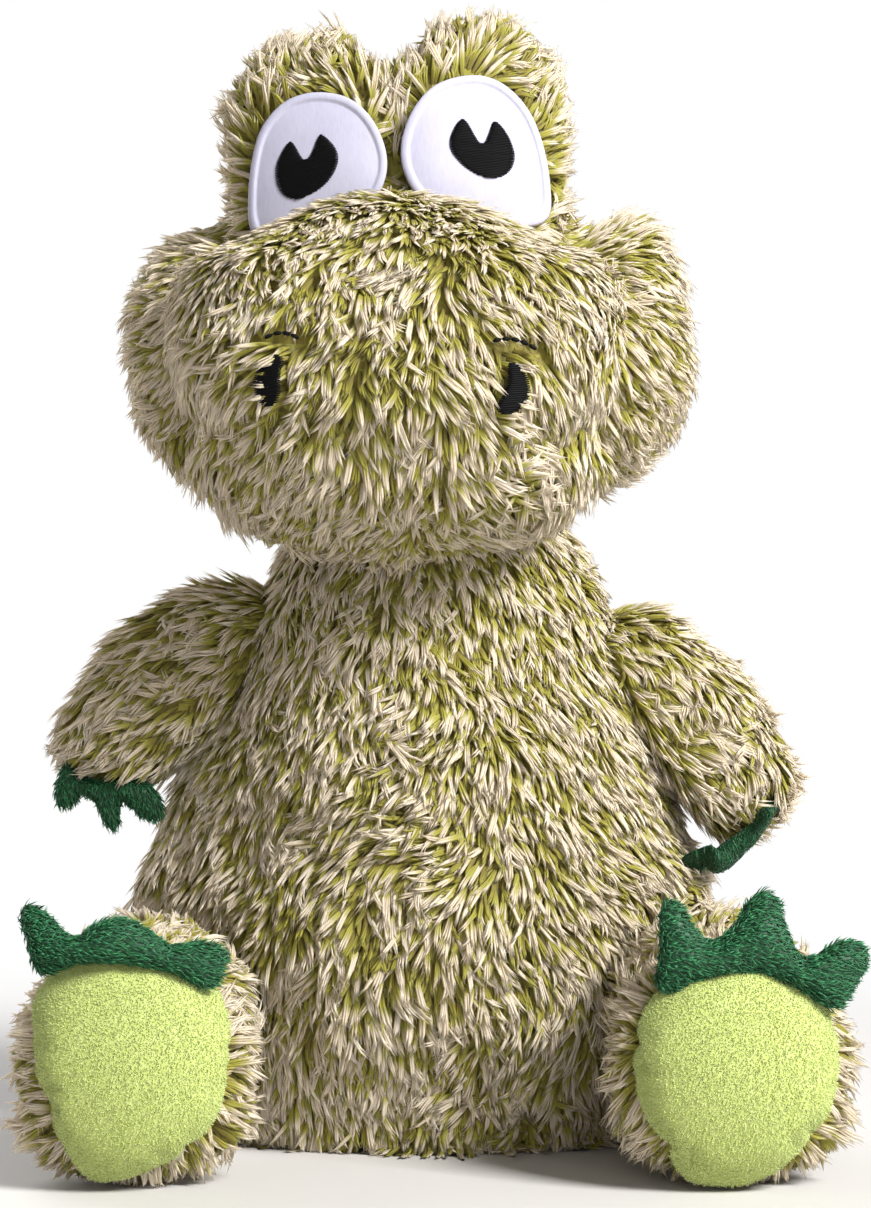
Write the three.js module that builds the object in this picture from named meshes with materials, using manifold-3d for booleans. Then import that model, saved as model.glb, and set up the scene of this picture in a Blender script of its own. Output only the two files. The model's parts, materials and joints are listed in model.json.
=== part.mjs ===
// Seated plush alligator dog toy, in millimetres: +Z is up, it faces -Y, and the origin is the middle of
// its seat on the floor.
// Every furry part is a sewn pouch of pile fabric with its own filling. Right and left are the toy's own.

import * as THREE from "three";
import { mergeVertices } from "three/addons/utils/BufferGeometryUtils.js";
import Module from "manifold-3d";

const wasm = await Module();
wasm.setup();

// Fabric and sewing
const plushThickness = 8; // backing cloth with its laid pile
const seamGap = 0.3; // between pieces that are sewn to each other
const fillGap = 0.6; // between a cover and its filling
const swingGap = 0.7; // round a limb that turns in its seat
const floorPress = 0.5; // how deep a limb is pressed flat where it lies on the floor

// Torso, a pear: half width and half depth at the seat, the hips, the chest and the neck
const seatHalfWidth = 60;
const seatHalfDepth = 46;
const hipHalfWidth = 78;
const hipHalfDepth = 58;
const hipHeight = 46;
const chestHalfWidth = 61;
const chestHalfDepth = 49;
const chestHeight = 102;
const neckRadius = 43; // the torso ends in a ball that the head turns on
const neckHeight = 142;
const neckSetBack = 4;

// Neck core, a firm ball of filling with a stem that carries the head
const stemRadius = 12;
const stemReach = 13; // above the neck ball
const neckHoleRadius = 23;
const neckFillDrop = 7; // the torso's filling ends this far below the ball's middle

// Head, each lobe as half sizes and as the place of its middle from the neck ball's middle. A lobe's power
// is 2 for an ellipsoid and higher for a squarer pillow.
const headLean = -6; // the whole head leans to the toy's right
const skullHalf = new THREE.Vector3(60, 46, 48);
const skullRise = 70;
const skullBack = 6;
const muzzleHalf = new THREE.Vector3(58, 47, 39);
const muzzleForward = 58; // ahead of the skull's middle
const muzzleDrop = 3;
const muzzleTurn = -3; // sideways
const muzzlePower = 2.3;
const cheekHalf = new THREE.Vector3(26, 36, 37);
const cheekSpread = 50.5;
const cheekForward = 5;
const cheekDrop = 4;
const cheekPower = 2.2;
const jawHalf = new THREE.Vector3(56, 38, 25);
const jawForward = 50;
const jawDrop = 36;
const jawPower = 2.2;
const moundHalf = new THREE.Vector3(25, 28, 37); // a mound carries each eye
const moundSpread = 22;
const moundForward = 8;
const moundRise = 48;
const moundShift = -3; // sideways
const moundRoll = 5; // degrees, the left mound stands higher
const moundPower = 3;

// Face pieces
const eyeThickness = 2.4;
const eyeHalfWidth = 19;
const eyeHalfHeight = 20.5;
const eyeInset = 1.5; // from a mound's middle towards the nose
const eyeDrop = 3; // below a mound's middle
const pupilHalfWidth = 8.4;
const pupilHalfHeight = 8.2;
const pupilOut = 2.3; // from an eye's middle, away from the nose
const stitchThickness = 0.9;
const nostrilHalfWidth = 3.2;
const nostrilHalfHeight = 6;
const nostrilSpread = 30.5;
const nostrilDrop = 14;
const foldRadius = 11; // stitched arc over a nostril
const foldWidth = 1.6;
const foldSpan = 110; // degrees

// Arms, by their root on the torso and by the middles of elbow and hand from there: out, forwards, down
const armHeight = 127;
const armRootRadius = 20;
const armSeatDepth = 6;
const shoulderLift = 6; // an arm first stands straight off the torso by this much
const armElbowRadius = 20.5;
const armHandRadius = 18;
const rightElbow = [22, 2, 7];
const rightHand = [33, 7, 19];
const leftElbow = [14, 2, 11];
const leftHand = [28, 7, 32];
const rightClaws = { turn: 2, reach: 0.4 }; // degrees from straight down to outwards, hand radii to the root
const leftClaws = { turn: 21, reach: 0.25 };

// Legs, by a hip ball that sits in a hollow of the torso
const hipBallRadius = 28;
const hipBallStandOff = 20; // ball's middle outside the torso's skin
const hipBallHeight = 36;
const hipBearing = 50; // degrees from straight ahead to the side
const footRadius = 29.5;
const footSpread = 1; // the foot is further out than the hip ball
const footForward = 53.5; // sole ahead of the hip ball
const kneeShare = 0.45; // of the way to the sole, where a leg has come down to its foot's height
const rootHoleRadius = 14; // open mouth of a limb's pouch, where it is sewn in
const soleFrom = 0.68; // share of the leg's length where the round end starts
const limbEndPower = 2.3; // bluntness of a round end
const padHalfWidth = 24;
const padHalfHeight = 28;
const padThickness = 2.6;
const padRise = 1.5; // above the foot's middle
const padSetIn = 13; // from the sole's foremost point back into the foot

// Tail, on a ball in the same way
const tailBallRadius = 25;
const tailBallStandOff = 15;
const tailLength = 62; // from the ball's middle to the tip
const tailTipRadius = 11;
const tailEndFrom = 0.8; // share of its length where the round tip starts

// Claws, each set a crown of points cut from one stuffed piece
const clawCount = 3;
const clawTipShare = 0.22; // width of a blunt tip, as a share of its claw's
const clawTipCut = 0.97; // and where it is cut off
const clawBevel = 0.3; // share of the thickness on each face
const footClawInner = 23; // radius of the edge along the sole pad
const footClawValley = 33;
const footClawTip = 43.5;
const footClawSpan = 106; // degrees
const footClawThickness = 6;
const footClawTurn = 6; // degrees outwards round the sole
const footClawLean = 8; // degrees forward
const handClawInner = 6;
const handClawValley = 14.5;
const handClawTip = 21.5;
const handClawSpan = 118;
const handClawThickness = 4.5;
const handClawForward = 0.4; // root of the crown ahead of the hand's middle, in hand radii

// Squeakers
const bulbRadius = 20;
const bulbHalfThickness = 9;
const bulbWall = 1.2;
const reedNeckRadius = 7;
const reedNeckLength = 5;
const reedRadius = 4.8;
const reedBore = 1.8;
const reedFlange = 1.4;
const reedRoom = 9; // free depth of a pocket behind the reed's neck
const torsoSqueakerHeight = 74;
const headSqueakerRise = 6; // above the skull's middle
const bulbShoulder = 0.9; // share of the bulb's half thickness where its neck starts

// Facets
const sliver = 0.04; // edges shorter than this are closed up
const bigSides = 20;
const smallSides = 12;
const fillSides = 8;
const holeSides = 24;
const rowShare = 0.6; // rows of a ball to its sides
const domeRows = 4; // of a limb's round end
const domeShy = 0.3; // rows by which the last ring stays short of the end
const torsoRows = 8;
const innerRows = 6; // of the torso's inside
const pearSteps = 200;
const bulbSteps = 4; // from the bulb's bottom to its equator
const clawArcSteps = 6;
const curveSteps = 5;
const cutThrough = 200; // long enough to cut right through any lobe
const beyond = 800; // larger than the toy

// Materials
const fabric = (name, color, roughness) =>
  new THREE.MeshStandardMaterial({ name, color, roughness, metalness: 0 });
const plush = fabric("frosted pile fabric", 0xa3976a, 0.95);
const filling = fabric("polyester filling", 0xf0eee8, 1);
const fleece = fabric("lime fleece", 0xc4d27c, 0.95);
const minky = fabric("dark green minky", 0x2e5b3a, 0.9);
const satin = fabric("white satin", 0xeef0f4, 0.5);
const thread = fabric("black embroidery", 0x161516, 0.7);
const vinyl = fabric("soft white vinyl", 0xe8e6da, 0.45);
const reedPlastic = fabric("reed plastic", 0xd8a04a, 0.4);

// Turns a closed geometry into a solid that can be joined and cut.
function solidOf(geometry) {
  const bare = new THREE.BufferGeometry();
  bare.setAttribute("position", geometry.getAttribute("position"));
  bare.setIndex(geometry.index);
  const merged = mergeVertices(bare, 1e-4);
  return new wasm.Manifold(
    new wasm.Mesh({
      numProp: 3,
      vertProperties: merged.attributes.position.array,
      triVerts: new Uint32Array(merged.index.array),
    }),
  );
}

// Adds a solid to a group as a named mesh, without the slivers that a cut can leave loose beside it.
function addPiece(group, name, solid, material) {
  const bodies = solid.decompose().sort((a, b) => b.volume() - a.volume());
  const { vertProperties, triVerts } = bodies[0].asOriginal().simplify(sliver).getMesh();
  const geometry = new THREE.BufferGeometry();
  geometry.setAttribute("position", new THREE.BufferAttribute(vertProperties.slice(), 3));
  geometry.setIndex(new THREE.BufferAttribute(triVerts.slice(), 1));
  geometry.computeVertexNormals();
  const mesh = new THREE.Mesh(geometry, material);
  mesh.name = name;
  group.add(mesh);
  return mesh;
}

const vector = (x, y, z) => new THREE.Vector3(x, y, z);
const radians = THREE.MathUtils.degToRad;

// A rounded pillow: power 2 is an ellipsoid, and a higher power is squarer.
const ballRows = (facets) => Math.round(facets * rowShare);
function pillow(middle, half, power, facets, roll = 0) {
  const geometry = new THREE.SphereGeometry(1, facets, ballRows(facets));
  const at = geometry.getAttribute("position");
  const p = vector(0, 0, 0);
  for (let i = 0; i < at.count; i++) {
    p.fromBufferAttribute(at, i);
    const norm = Math.abs(p.x) ** power + Math.abs(p.y) ** power + Math.abs(p.z) ** power;
    p.multiplyScalar(norm ** (-1 / power)).multiply(half);
    at.setXYZ(i, p.x, p.y, p.z);
  }
  geometry.rotateY(roll);
  geometry.translate(middle.x, middle.y, middle.z);
  return solidOf(geometry);
}

// A ball, and the radius that a faceted bar or ball needs for its flats to clear the one given.
const ball = (middle, radius, facets) => pillow(middle, vector(radius, radius, radius), 2, facets);
const clearBar = (radius, facets) => radius / Math.cos(Math.PI / facets);
const clearBall = (radius, facets) => clearBar(radius, facets) / Math.cos(Math.PI / 2 / ballRows(facets));
const roomForBall = (middle, radius) => ball(middle, clearBall(radius, bigSides), bigSides);

// A closed skin over a row of elliptical rings, where across x along points to the next ring.
function skinOver(rings, facets) {
  const points = [];
  const faces = [];
  for (const { middle, across, along } of rings) {
    for (let j = 0; j < facets; j++) {
      const turn = (2 * Math.PI * j) / facets;
      const p = middle.clone();
      p.addScaledVector(across, Math.cos(turn)).addScaledVector(along, Math.sin(turn));
      points.push(p);
    }
  }
  for (let i = 0; i + 1 < rings.length; i++) {
    for (let j = 0; j < facets; j++) {
      const a = i * facets + j;
      const b = i * facets + ((j + 1) % facets);
      faces.push(a, b, b + facets, a, b + facets, a + facets);
    }
  }
  const start = points.push(rings[0].middle) - 1;
  const end = points.push(rings.at(-1).middle) - 1;
  const last = (rings.length - 1) * facets;
  for (let j = 0; j < facets; j++) {
    const next = (j + 1) % facets;
    faces.push(start, next, j, end, last + j, last + next);
  }
  const geometry = new THREE.BufferGeometry().setFromPoints(points);
  geometry.setIndex(faces);
  return solidOf(geometry);
}

// A stuffed limb along a curve, grown by grow: girth(t) is its radius from the root, t = 0, to the far end,
// t = 1. From domeFrom on it is a blunt dome, and its root is half a ball about t = 0.
function limb({ curve, girth, domeFrom }, grow) {
  const length = curve.getLength();
  const reach = length + grow;
  const quarter = Math.PI / 2 / domeRows;
  const places = [];
  for (let i = 1; i < domeRows; i++) {
    const behind = (girth(0) + grow) * Math.cos(quarter * i);
    places.push({ t: 0, full: Math.sin(quarter * i), behind });
  }
  places.push({ t: 0, full: 1, behind: 0 }, { t: domeFrom / 2, full: 1, behind: 0 });
  const lastTurn = 1 + domeShy / domeRows;
  for (let i = 0; i <= domeRows; i++) {
    const past = Math.sin((quarter * i) / lastTurn);
    const full = (1 - past ** limbEndPower) ** (1 / limbEndPower);
    places.push({ t: domeFrom + (1 - domeFrom) * past, full, behind: 0 });
  }
  const rings = places.map(({ t, full, behind }) => {
    const along = Math.min(1, (t * reach) / length);
    const way = curve.getTangentAt(along);
    const across = vector(0, 0, 1).cross(way).normalize();
    const up = way.clone().cross(across);
    const radius = (girth(t) + grow) * full;
    const past = t * reach - along * length - behind;
    return {
      middle: curve.getPointAt(along).addScaledVector(way, past),
      across: across.multiplyScalar(radius),
      along: up.multiplyScalar(radius),
    };
  });
  return skinOver(rings, grow < 0 ? fillSides : smallSides);
}

// A stuffed sleeve grown by grow: balls in a row with a skin stretched over each neighbouring two.
function sleeve(stops, grow) {
  const facets = grow < 0 ? fillSides : smallSides;
  const balls = stops.map(({ at, radius }) => ball(at, radius + grow, facets));
  const spans = balls.slice(1).map((next, i) => wasm.Manifold.hull([balls[i], next]));
  return wasm.Manifold.union(spans);
}

// A block that fills everything on the far side of a plane, the side its normal points to.
function halfSpace(point, normal) {
  const block = new THREE.BoxGeometry(beyond, beyond, beyond);
  block.translate(0, 0, beyond / 2);
  const turn = new THREE.Quaternion().setFromUnitVectors(vector(0, 0, 1), normal);
  block.applyQuaternion(turn);
  block.translate(point.x, point.y, point.z);
  return solidOf(block);
}

// A round bar from a point along a direction.
function bar(start, way, radius, length, facets = holeSides) {
  const rod = new THREE.CylinderGeometry(radius, radius, length, facets);
  rod.translate(0, length / 2, 0);
  rod.applyQuaternion(new THREE.Quaternion().setFromUnitVectors(vector(0, 1, 0), way));
  rod.translate(start.x, start.y, start.z);
  return solidOf(rod);
}

// A flat outline in the XZ plane, drawn out forwards far enough to cut right through a lobe.
function prism(shape, middle) {
  const block = new THREE.ExtrudeGeometry(shape, {
    depth: cutThrough,
    bevelEnabled: false,
    curveSegments: curveSteps,
  });
  block.rotateX(Math.PI / 2);
  block.translate(middle.x, middle.y, middle.z);
  return solidOf(block);
}

// Leaves a seam's gap between a solid and the shapes it is sewn against.
const cutBack = (solid, others) => others.reduce((rest, other) => rest.subtract(other(seamGap)), solid);

// Cover and filling of one pouch. form(grow) is its shape, grown by grow.
function pouch(form, others) {
  return {
    cover: cutBack(form(0).subtract(form(-plushThickness)), others),
    fill: cutBack(form(-plushThickness - fillGap), others),
  };
}

const grown = (half, grow) => half.clone().addScalar(grow);
const toy = new THREE.Group();
toy.name = "plush_alligator";

// Torso
const neckMiddle = vector(0, neckSetBack, neckHeight);
const pear = new THREE.CatmullRomCurve3([
  vector(seatHalfWidth, seatHalfDepth, 0),
  vector(hipHalfWidth, hipHalfDepth, hipHeight),
  vector(chestHalfWidth, chestHalfDepth, chestHeight),
  vector(neckRadius, neckRadius, neckHeight),
]);
const pearLine = pear.getPoints(pearSteps);
const backSet = (height) => (neckSetBack * height) / neckHeight;

// Half width, half depth and slopes of the pear at a height.
function girthAt(height) {
  const above = Math.max(1, pearLine.findIndex((p) => p.z >= height));
  const [low, high] = [pearLine[above - 1], pearLine[above]];
  const part = (height - low.z) / (high.z - low.z);
  return {
    width: low.x + (high.x - low.x) * part,
    depth: low.y + (high.y - low.y) * part,
    slope: (high.x - low.x) / (high.z - low.z),
  };
}

// The pear grown by grow, closed by the neck ball on top.
function torsoForm(grow, facets = bigSides, rows = torsoRows) {
  const rings = [];
  const floor = Math.max(0, -grow);
  for (let i = 0; i <= rows; i++) {
    const height = floor + ((neckHeight - floor) * i) / rows;
    const { width, depth } = girthAt((neckHeight * i) / rows);
    rings.push({
      middle: vector(0, backSet(height), height),
      across: vector(width + grow, 0, 0),
      along: vector(0, depth + grow, 0),
    });
  }
  const neckRows = grow < 0 ? domeRows - 1 : domeRows;
  for (let i = 1; i <= neckRows; i++) {
    const lift = ((Math.PI / 2) * i) / (neckRows + domeShy);
    const girth = (neckRadius + grow) * Math.cos(lift);
    rings.push({
      middle: vector(0, neckSetBack, neckHeight + (neckRadius + grow) * Math.sin(lift)),
      across: vector(girth, 0, 0),
      along: vector(0, girth, 0),
    });
  }
  return skinOver(rings, facets);
}

// A point of the torso's skin at a height and a bearing from straight ahead, with its level way out.
function onTorso(height, bearing, side) {
  const { width, depth } = girthAt(height);
  const turn = radians(bearing);
  const point = vector(side * width * Math.sin(turn), backSet(height) - depth * Math.cos(turn), height);
  const out = vector((side * Math.sin(turn)) / width, -Math.cos(turn) / depth, 0).normalize();
  return { point, out };
}

// Where the limbs join the torso
function armSeat(side) {
  const { width, slope } = girthAt(armHeight);
  return {
    point: vector(side * width, backSet(armHeight), armHeight),
    out: vector(side, 0, -slope).normalize(),
  };
}
function hipBall(side) {
  const { point, out } = onTorso(hipBallHeight, hipBearing, side);
  return { middle: point.clone().addScaledVector(out, hipBallStandOff), out };
}
const tailHeight = tailBallRadius - floorPress;
const tailSeat = onTorso(tailHeight, 180, 1);
const tailBall = tailSeat.point.clone().addScaledVector(tailSeat.out, tailBallStandOff);

const bothSides = [
  { name: "right", side: -1, elbow: rightElbow, hand: rightHand, claws: rightClaws },
  { name: "left", side: 1, elbow: leftElbow, hand: leftHand, claws: leftClaws },
];

// What the limbs and the neck take out of the torso
const armRecesses = bothSides.map(({ side }) => {
  const { point, out } = armSeat(side);
  const bottom = point.clone().addScaledVector(out, -armSeatDepth);
  return bar(bottom, out, clearBar(armRootRadius + swingGap, holeSides), 2 * armRootRadius);
});
const ballHollows = [
  ...bothSides.map(({ side }) => roomForBall(hipBall(side).middle, hipBallRadius + swingGap)),
  roomForBall(tailBall, tailBallRadius + swingGap),
];
const limbRoom = [...armRecesses, ...ballHollows];
const coreRadius = neckRadius - plushThickness - swingGap;
const coreRoom = roomForBall(neckMiddle, coreRadius + swingGap);
const neckHole = bar(neckMiddle, vector(0, 0, 1), neckHoleRadius, 2 * neckRadius);

const torso = new THREE.Group();
toy.add(torso);
const torsoInside = torsoForm(-plushThickness, smallSides, innerRows);
let torsoShell = torsoForm(0).subtract(torsoInside).subtract(neckHole).subtract(coreRoom);
for (const room of limbRoom) torsoShell = torsoShell.subtract(room);
const halfGap = seamGap / 2;
const aboveBase = halfSpace(vector(0, 0, plushThickness + halfGap), vector(0, 0, 1));
const belowBase = halfSpace(vector(0, 0, plushThickness - halfGap), vector(0, 0, -1));
const ahead = halfSpace(vector(0, -halfGap, 0), vector(0, -1, 0));
const behind = halfSpace(vector(0, halfGap, 0), vector(0, 1, 0));
const torsoWalls = torsoShell.intersect(aboveBase);
addPiece(torso, "torso_front_cover", torsoWalls.intersect(ahead), plush);
addPiece(torso, "torso_back_cover", torsoWalls.intersect(behind), plush);
addPiece(torso, "torso_base_panel", torsoForm(0).intersect(belowBase), plush);

// Squeaker bulb with its neck along +Y, and the reed plug that sits in the neck
const turned = (points) => {
  const profile = points.map(([radius, height]) => new THREE.Vector2(radius, height));
  return solidOf(new THREE.LatheGeometry([...profile, profile[0]], fillSides));
};
// The bulb's wall from the middle of its bottom up to a neck of the given radius.
function bulbLine(radius, half, neck) {
  const points = [];
  for (let i = 0; i <= 2 * bulbSteps; i++) {
    const turn = (Math.PI / 2) * (i / bulbSteps - 1);
    const [out, up] = [radius * Math.cos(turn), half * Math.sin(turn)];
    if (up <= 0 || out > neck) points.push([out, up]);
  }
  return points;
}
function squeakerBulb() {
  const bore = reedRadius + seamGap;
  const top = bulbHalfThickness + reedNeckLength;
  const innerHalf = bulbHalfThickness - bulbWall;
  return turned([
    ...bulbLine(bulbRadius, bulbHalfThickness, reedNeckRadius),
    [reedNeckRadius, bulbHalfThickness * bulbShoulder],
    [reedNeckRadius, top],
    [bore, top],
    [bore, innerHalf * bulbShoulder],
    ...bulbLine(bulbRadius - bulbWall, innerHalf, bore).reverse(),
  ]);
}
function squeakerReed() {
  const seat = bulbHalfThickness + reedNeckLength + seamGap;
  return turned([
    [reedBore, seat - reedNeckLength],
    [reedRadius, seat - reedNeckLength],
    [reedRadius, seat],
    [reedNeckRadius, seat],
    [reedNeckRadius, seat + reedFlange],
    [reedBore, seat + reedFlange],
  ]);
}

// A pocket for a squeaker, open to the back of a filling.
function squeakerPocket(backOfFill) {
  const depth = 2 * bulbHalfThickness + reedNeckLength + reedRoom;
  const bottom = backOfFill.clone().add(vector(0, -depth, 0));
  return {
    middle: bottom.clone().add(vector(0, bulbHalfThickness + seamGap, 0)),
    room: bar(bottom, vector(0, 1, 0), clearBar(bulbRadius + seamGap, holeSides), 2 * depth),
  };
}
function addSqueaker(group, name, middle) {
  const holder = new THREE.Group();
  holder.position.copy(middle);
  group.add(holder);
  addPiece(holder, name + "_bulb", squeakerBulb(), vinyl);
  addPiece(holder, name + "_reed", squeakerReed(), reedPlastic);
}

const torsoBack = backSet(torsoSqueakerHeight) + girthAt(torsoSqueakerHeight).depth;
const belly = squeakerPocket(vector(0, torsoBack - plushThickness, torsoSqueakerHeight));
const fillTop = halfSpace(vector(0, 0, neckHeight - neckFillDrop), vector(0, 0, 1));
let torsoFill = torsoForm(-plushThickness - seamGap, smallSides, innerRows);
torsoFill = torsoFill.subtract(coreRoom).subtract(fillTop).subtract(belly.room);
for (const room of limbRoom) torsoFill = torsoFill.subtract(room);
addPiece(torso, "torso_filling", torsoFill, filling);
addSqueaker(torso, "torso_squeaker", belly.middle);

// Neck core
const neck = new THREE.Group();
neck.position.copy(neckMiddle);
toy.add(neck);
const stem = bar(vector(0, 0, 0), vector(0, 0, 1), stemRadius, neckRadius + stemReach, bigSides);
addPiece(neck, "neck_core", ball(vector(0, 0, 0), coreRadius, smallSides).add(stem), filling);

// Head, with the neck ball's middle as its own origin
const head = new THREE.Group();
head.position.copy(neckMiddle);
toy.add(head);
const neckBall = (grow) => roomForBall(vector(0, 0, 0), neckRadius + grow + swingGap - seamGap);
const skullMiddle = vector(headLean, skullBack, skullRise);
const fromSkull = (x, forward, up) => skullMiddle.clone().add(vector(x, -forward, up));
const muzzleMiddle = fromSkull(muzzleTurn, muzzleForward, -muzzleDrop);
const jawMiddle = fromSkull(muzzleTurn, jawForward, -jawDrop);
const lobe = (middle, half, power, facets, roll) => (grow) =>
  pillow(middle, grown(half, grow), power, grow < 0 ? fillSides : facets, roll);
const skull = lobe(skullMiddle, skullHalf, 2, bigSides);
const muzzle = lobe(muzzleMiddle, muzzleHalf, muzzlePower, bigSides);
const jaw = lobe(jawMiddle, jawHalf, jawPower, smallSides);

const skullPouch = pouch(skull, [neckBall]);
const brow = squeakerPocket(fromSkull(0, plushThickness - skullHalf.y, headSqueakerRise));
const boreRadius = clearBar(stemRadius + seamGap, holeSides);
const stemBore = bar(vector(0, 0, 0), vector(0, 0, 1), boreRadius, neckRadius + stemReach + seamGap);
addPiece(head, "skull_cover", skullPouch.cover, plush);
addPiece(head, "skull_filling", skullPouch.fill.subtract(stemBore).subtract(brow.room), filling);
addSqueaker(head, "head_squeaker", brow.middle);

function addPouch(group, name, { cover, fill }) {
  addPiece(group, name + "_cover", cover, plush);
  addPiece(group, name + "_filling", fill, filling);
}
addPouch(head, "muzzle", pouch(muzzle, [skull, neckBall]));
addPouch(head, "jaw", pouch(jaw, [skull, muzzle, neckBall]));

// A thin patch that lies on a lobe: an outline pushed onto the lobe's front.
function patch(form, shape, middle, lift, thickness) {
  return form(lift + thickness).subtract(form(lift)).intersect(prism(shape, middle));
}
function eyeOutline(side) {
  const w = eyeHalfWidth;
  const h = eyeHalfHeight;
  const out = new THREE.Shape();
  out.moveTo(-side * w, 0);
  out.bezierCurveTo(-side * w, 0.56 * h, -0.52 * side * w, h, 0, h);
  out.bezierCurveTo(0.47 * side * w, h, 0.76 * side * w, 0.63 * h, 0.87 * side * w, 0.2 * h);
  out.bezierCurveTo(0.95 * side * w, -0.15 * h, side * w, -0.59 * h, side * w, -0.83 * h);
  out.bezierCurveTo(0.8 * side * w, -h, 0.4 * side * w, -h, 0, -h);
  out.bezierCurveTo(-0.63 * side * w, -h, -side * w, -0.54 * h, -side * w, 0);
  return out;
}

// A bean with a notch in its top, as a round pupil with a highlight cut out.
function pupilOutline() {
  const w = pupilHalfWidth;
  const h = pupilHalfHeight;
  const out = new THREE.Shape();
  out.moveTo(-0.45 * w, h);
  out.lineTo(0.04 * w, 0.2 * h);
  out.lineTo(0.5 * w, 0.98 * h);
  out.bezierCurveTo(0.95 * w, 0.7 * h, 1.1 * w, -0.05 * h, 0.8 * w, -0.55 * h);
  out.bezierCurveTo(0.5 * w, -1.05 * h, -0.4 * w, -1.1 * h, -0.75 * w, -0.6 * h);
  out.bezierCurveTo(-1.1 * w, -0.1 * h, -0.95 * w, 0.6 * h, -0.45 * w, h);
  return out;
}
const oval = (halfWidth, halfHeight) =>
  new THREE.Shape().absellipse(0, 0, halfWidth, halfHeight, 0, 2 * Math.PI);
function foldOutline() {
  const arc = new THREE.Shape();
  const from = radians(90 - foldSpan / 2);
  const to = radians(90 + foldSpan / 2);
  arc.absarc(0, 0, foldRadius + foldWidth / 2, from, to, false);
  arc.absarc(0, 0, foldRadius - foldWidth / 2, to, from, true);
  return arc;
}

// Cheeks, eye mounds and the face on them
const midline = headLean + moundShift;
const roll = radians(-moundRoll);
for (const { name, side } of bothSides) {
  const cheekMiddle = fromSkull(side * cheekSpread, cheekForward, -cheekDrop);
  const cheek = lobe(cheekMiddle, cheekHalf, cheekPower, smallSides);
  addPouch(head, name + "_cheek", pouch(cheek, [skull, muzzle, jaw, neckBall]));

  const moundMiddle = fromSkull(moundShift + side * moundSpread, moundForward, moundRise);
  moundMiddle.z += side * moundSpread * Math.sin(radians(moundRoll));
  const mound = lobe(moundMiddle, moundHalf, moundPower, smallSides, roll);
  const otherMound = (grow) =>
    halfSpace(vector(midline + side * (grow - halfGap), 0, 0), vector(-side, 0, 0));
  addPouch(head, name + "_eye_mound", pouch(mound, [skull, muzzle, cheek, otherMound]));

  const eyeMiddle = moundMiddle.clone().add(vector(-side * eyeInset, 0, -eyeDrop));
  const eyeBlank = patch(mound, eyeOutline(side), eyeMiddle, seamGap, eyeThickness);
  addPiece(head, name + "_eye", cutBack(eyeBlank, [skull, muzzle, cheek]), satin);
  const pupilMiddle = eyeMiddle.clone().add(vector(side * pupilOut, 0, 0));
  const pupilLift = 2 * seamGap + eyeThickness;
  const pupil = patch(mound, pupilOutline(), pupilMiddle, pupilLift, stitchThickness);
  addPiece(head, name + "_pupil", pupil, thread);

  const nostrilMiddle = muzzleMiddle.clone().add(vector(side * nostrilSpread, 0, -nostrilDrop));
  const onMuzzle = (shape) => patch(muzzle, shape, nostrilMiddle, seamGap, stitchThickness);
  addPiece(head, name + "_nostril", onMuzzle(oval(nostrilHalfWidth, nostrilHalfHeight)), thread);
  addPiece(head, name + "_nostril_fold", onMuzzle(foldOutline()), thread);
}

// A crown of claws in its own XZ plane, pointing up: an inner arc, and points round a wider one.
function clawCrown(inner, valley, tip, span, thickness) {
  const from = 90 - span / 2;
  const at = (radius, degrees) =>
    new THREE.Vector2(radius * Math.cos(radians(degrees)), radius * Math.sin(radians(degrees)));
  const outline = [];
  const half = span / clawCount / 2;
  for (let i = 0; i < clawCount; i++) {
    const middle = from + half * (2 * i + 1);
    outline.push(at(valley, middle - half));
    outline.push(at(tip * clawTipCut, middle - half * clawTipShare));
    outline.push(at(tip * clawTipCut, middle + half * clawTipShare));
  }
  outline.push(at(valley, from + span));
  for (let i = 0; i <= clawArcSteps; i++) outline.push(at(inner, from + span * (1 - i / clawArcSteps)));
  const bevel = thickness * clawBevel;
  const block = new THREE.ExtrudeGeometry(new THREE.Shape(outline), {
    depth: thickness - 2 * bevel,
    bevelEnabled: true,
    bevelThickness: bevel,
    bevelSize: bevel,
    bevelOffset: -bevel,
    bevelSegments: 1,
  });
  block.translate(0, 0, bevel - thickness / 2);
  block.rotateX(Math.PI / 2);
  return block;
}

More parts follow.
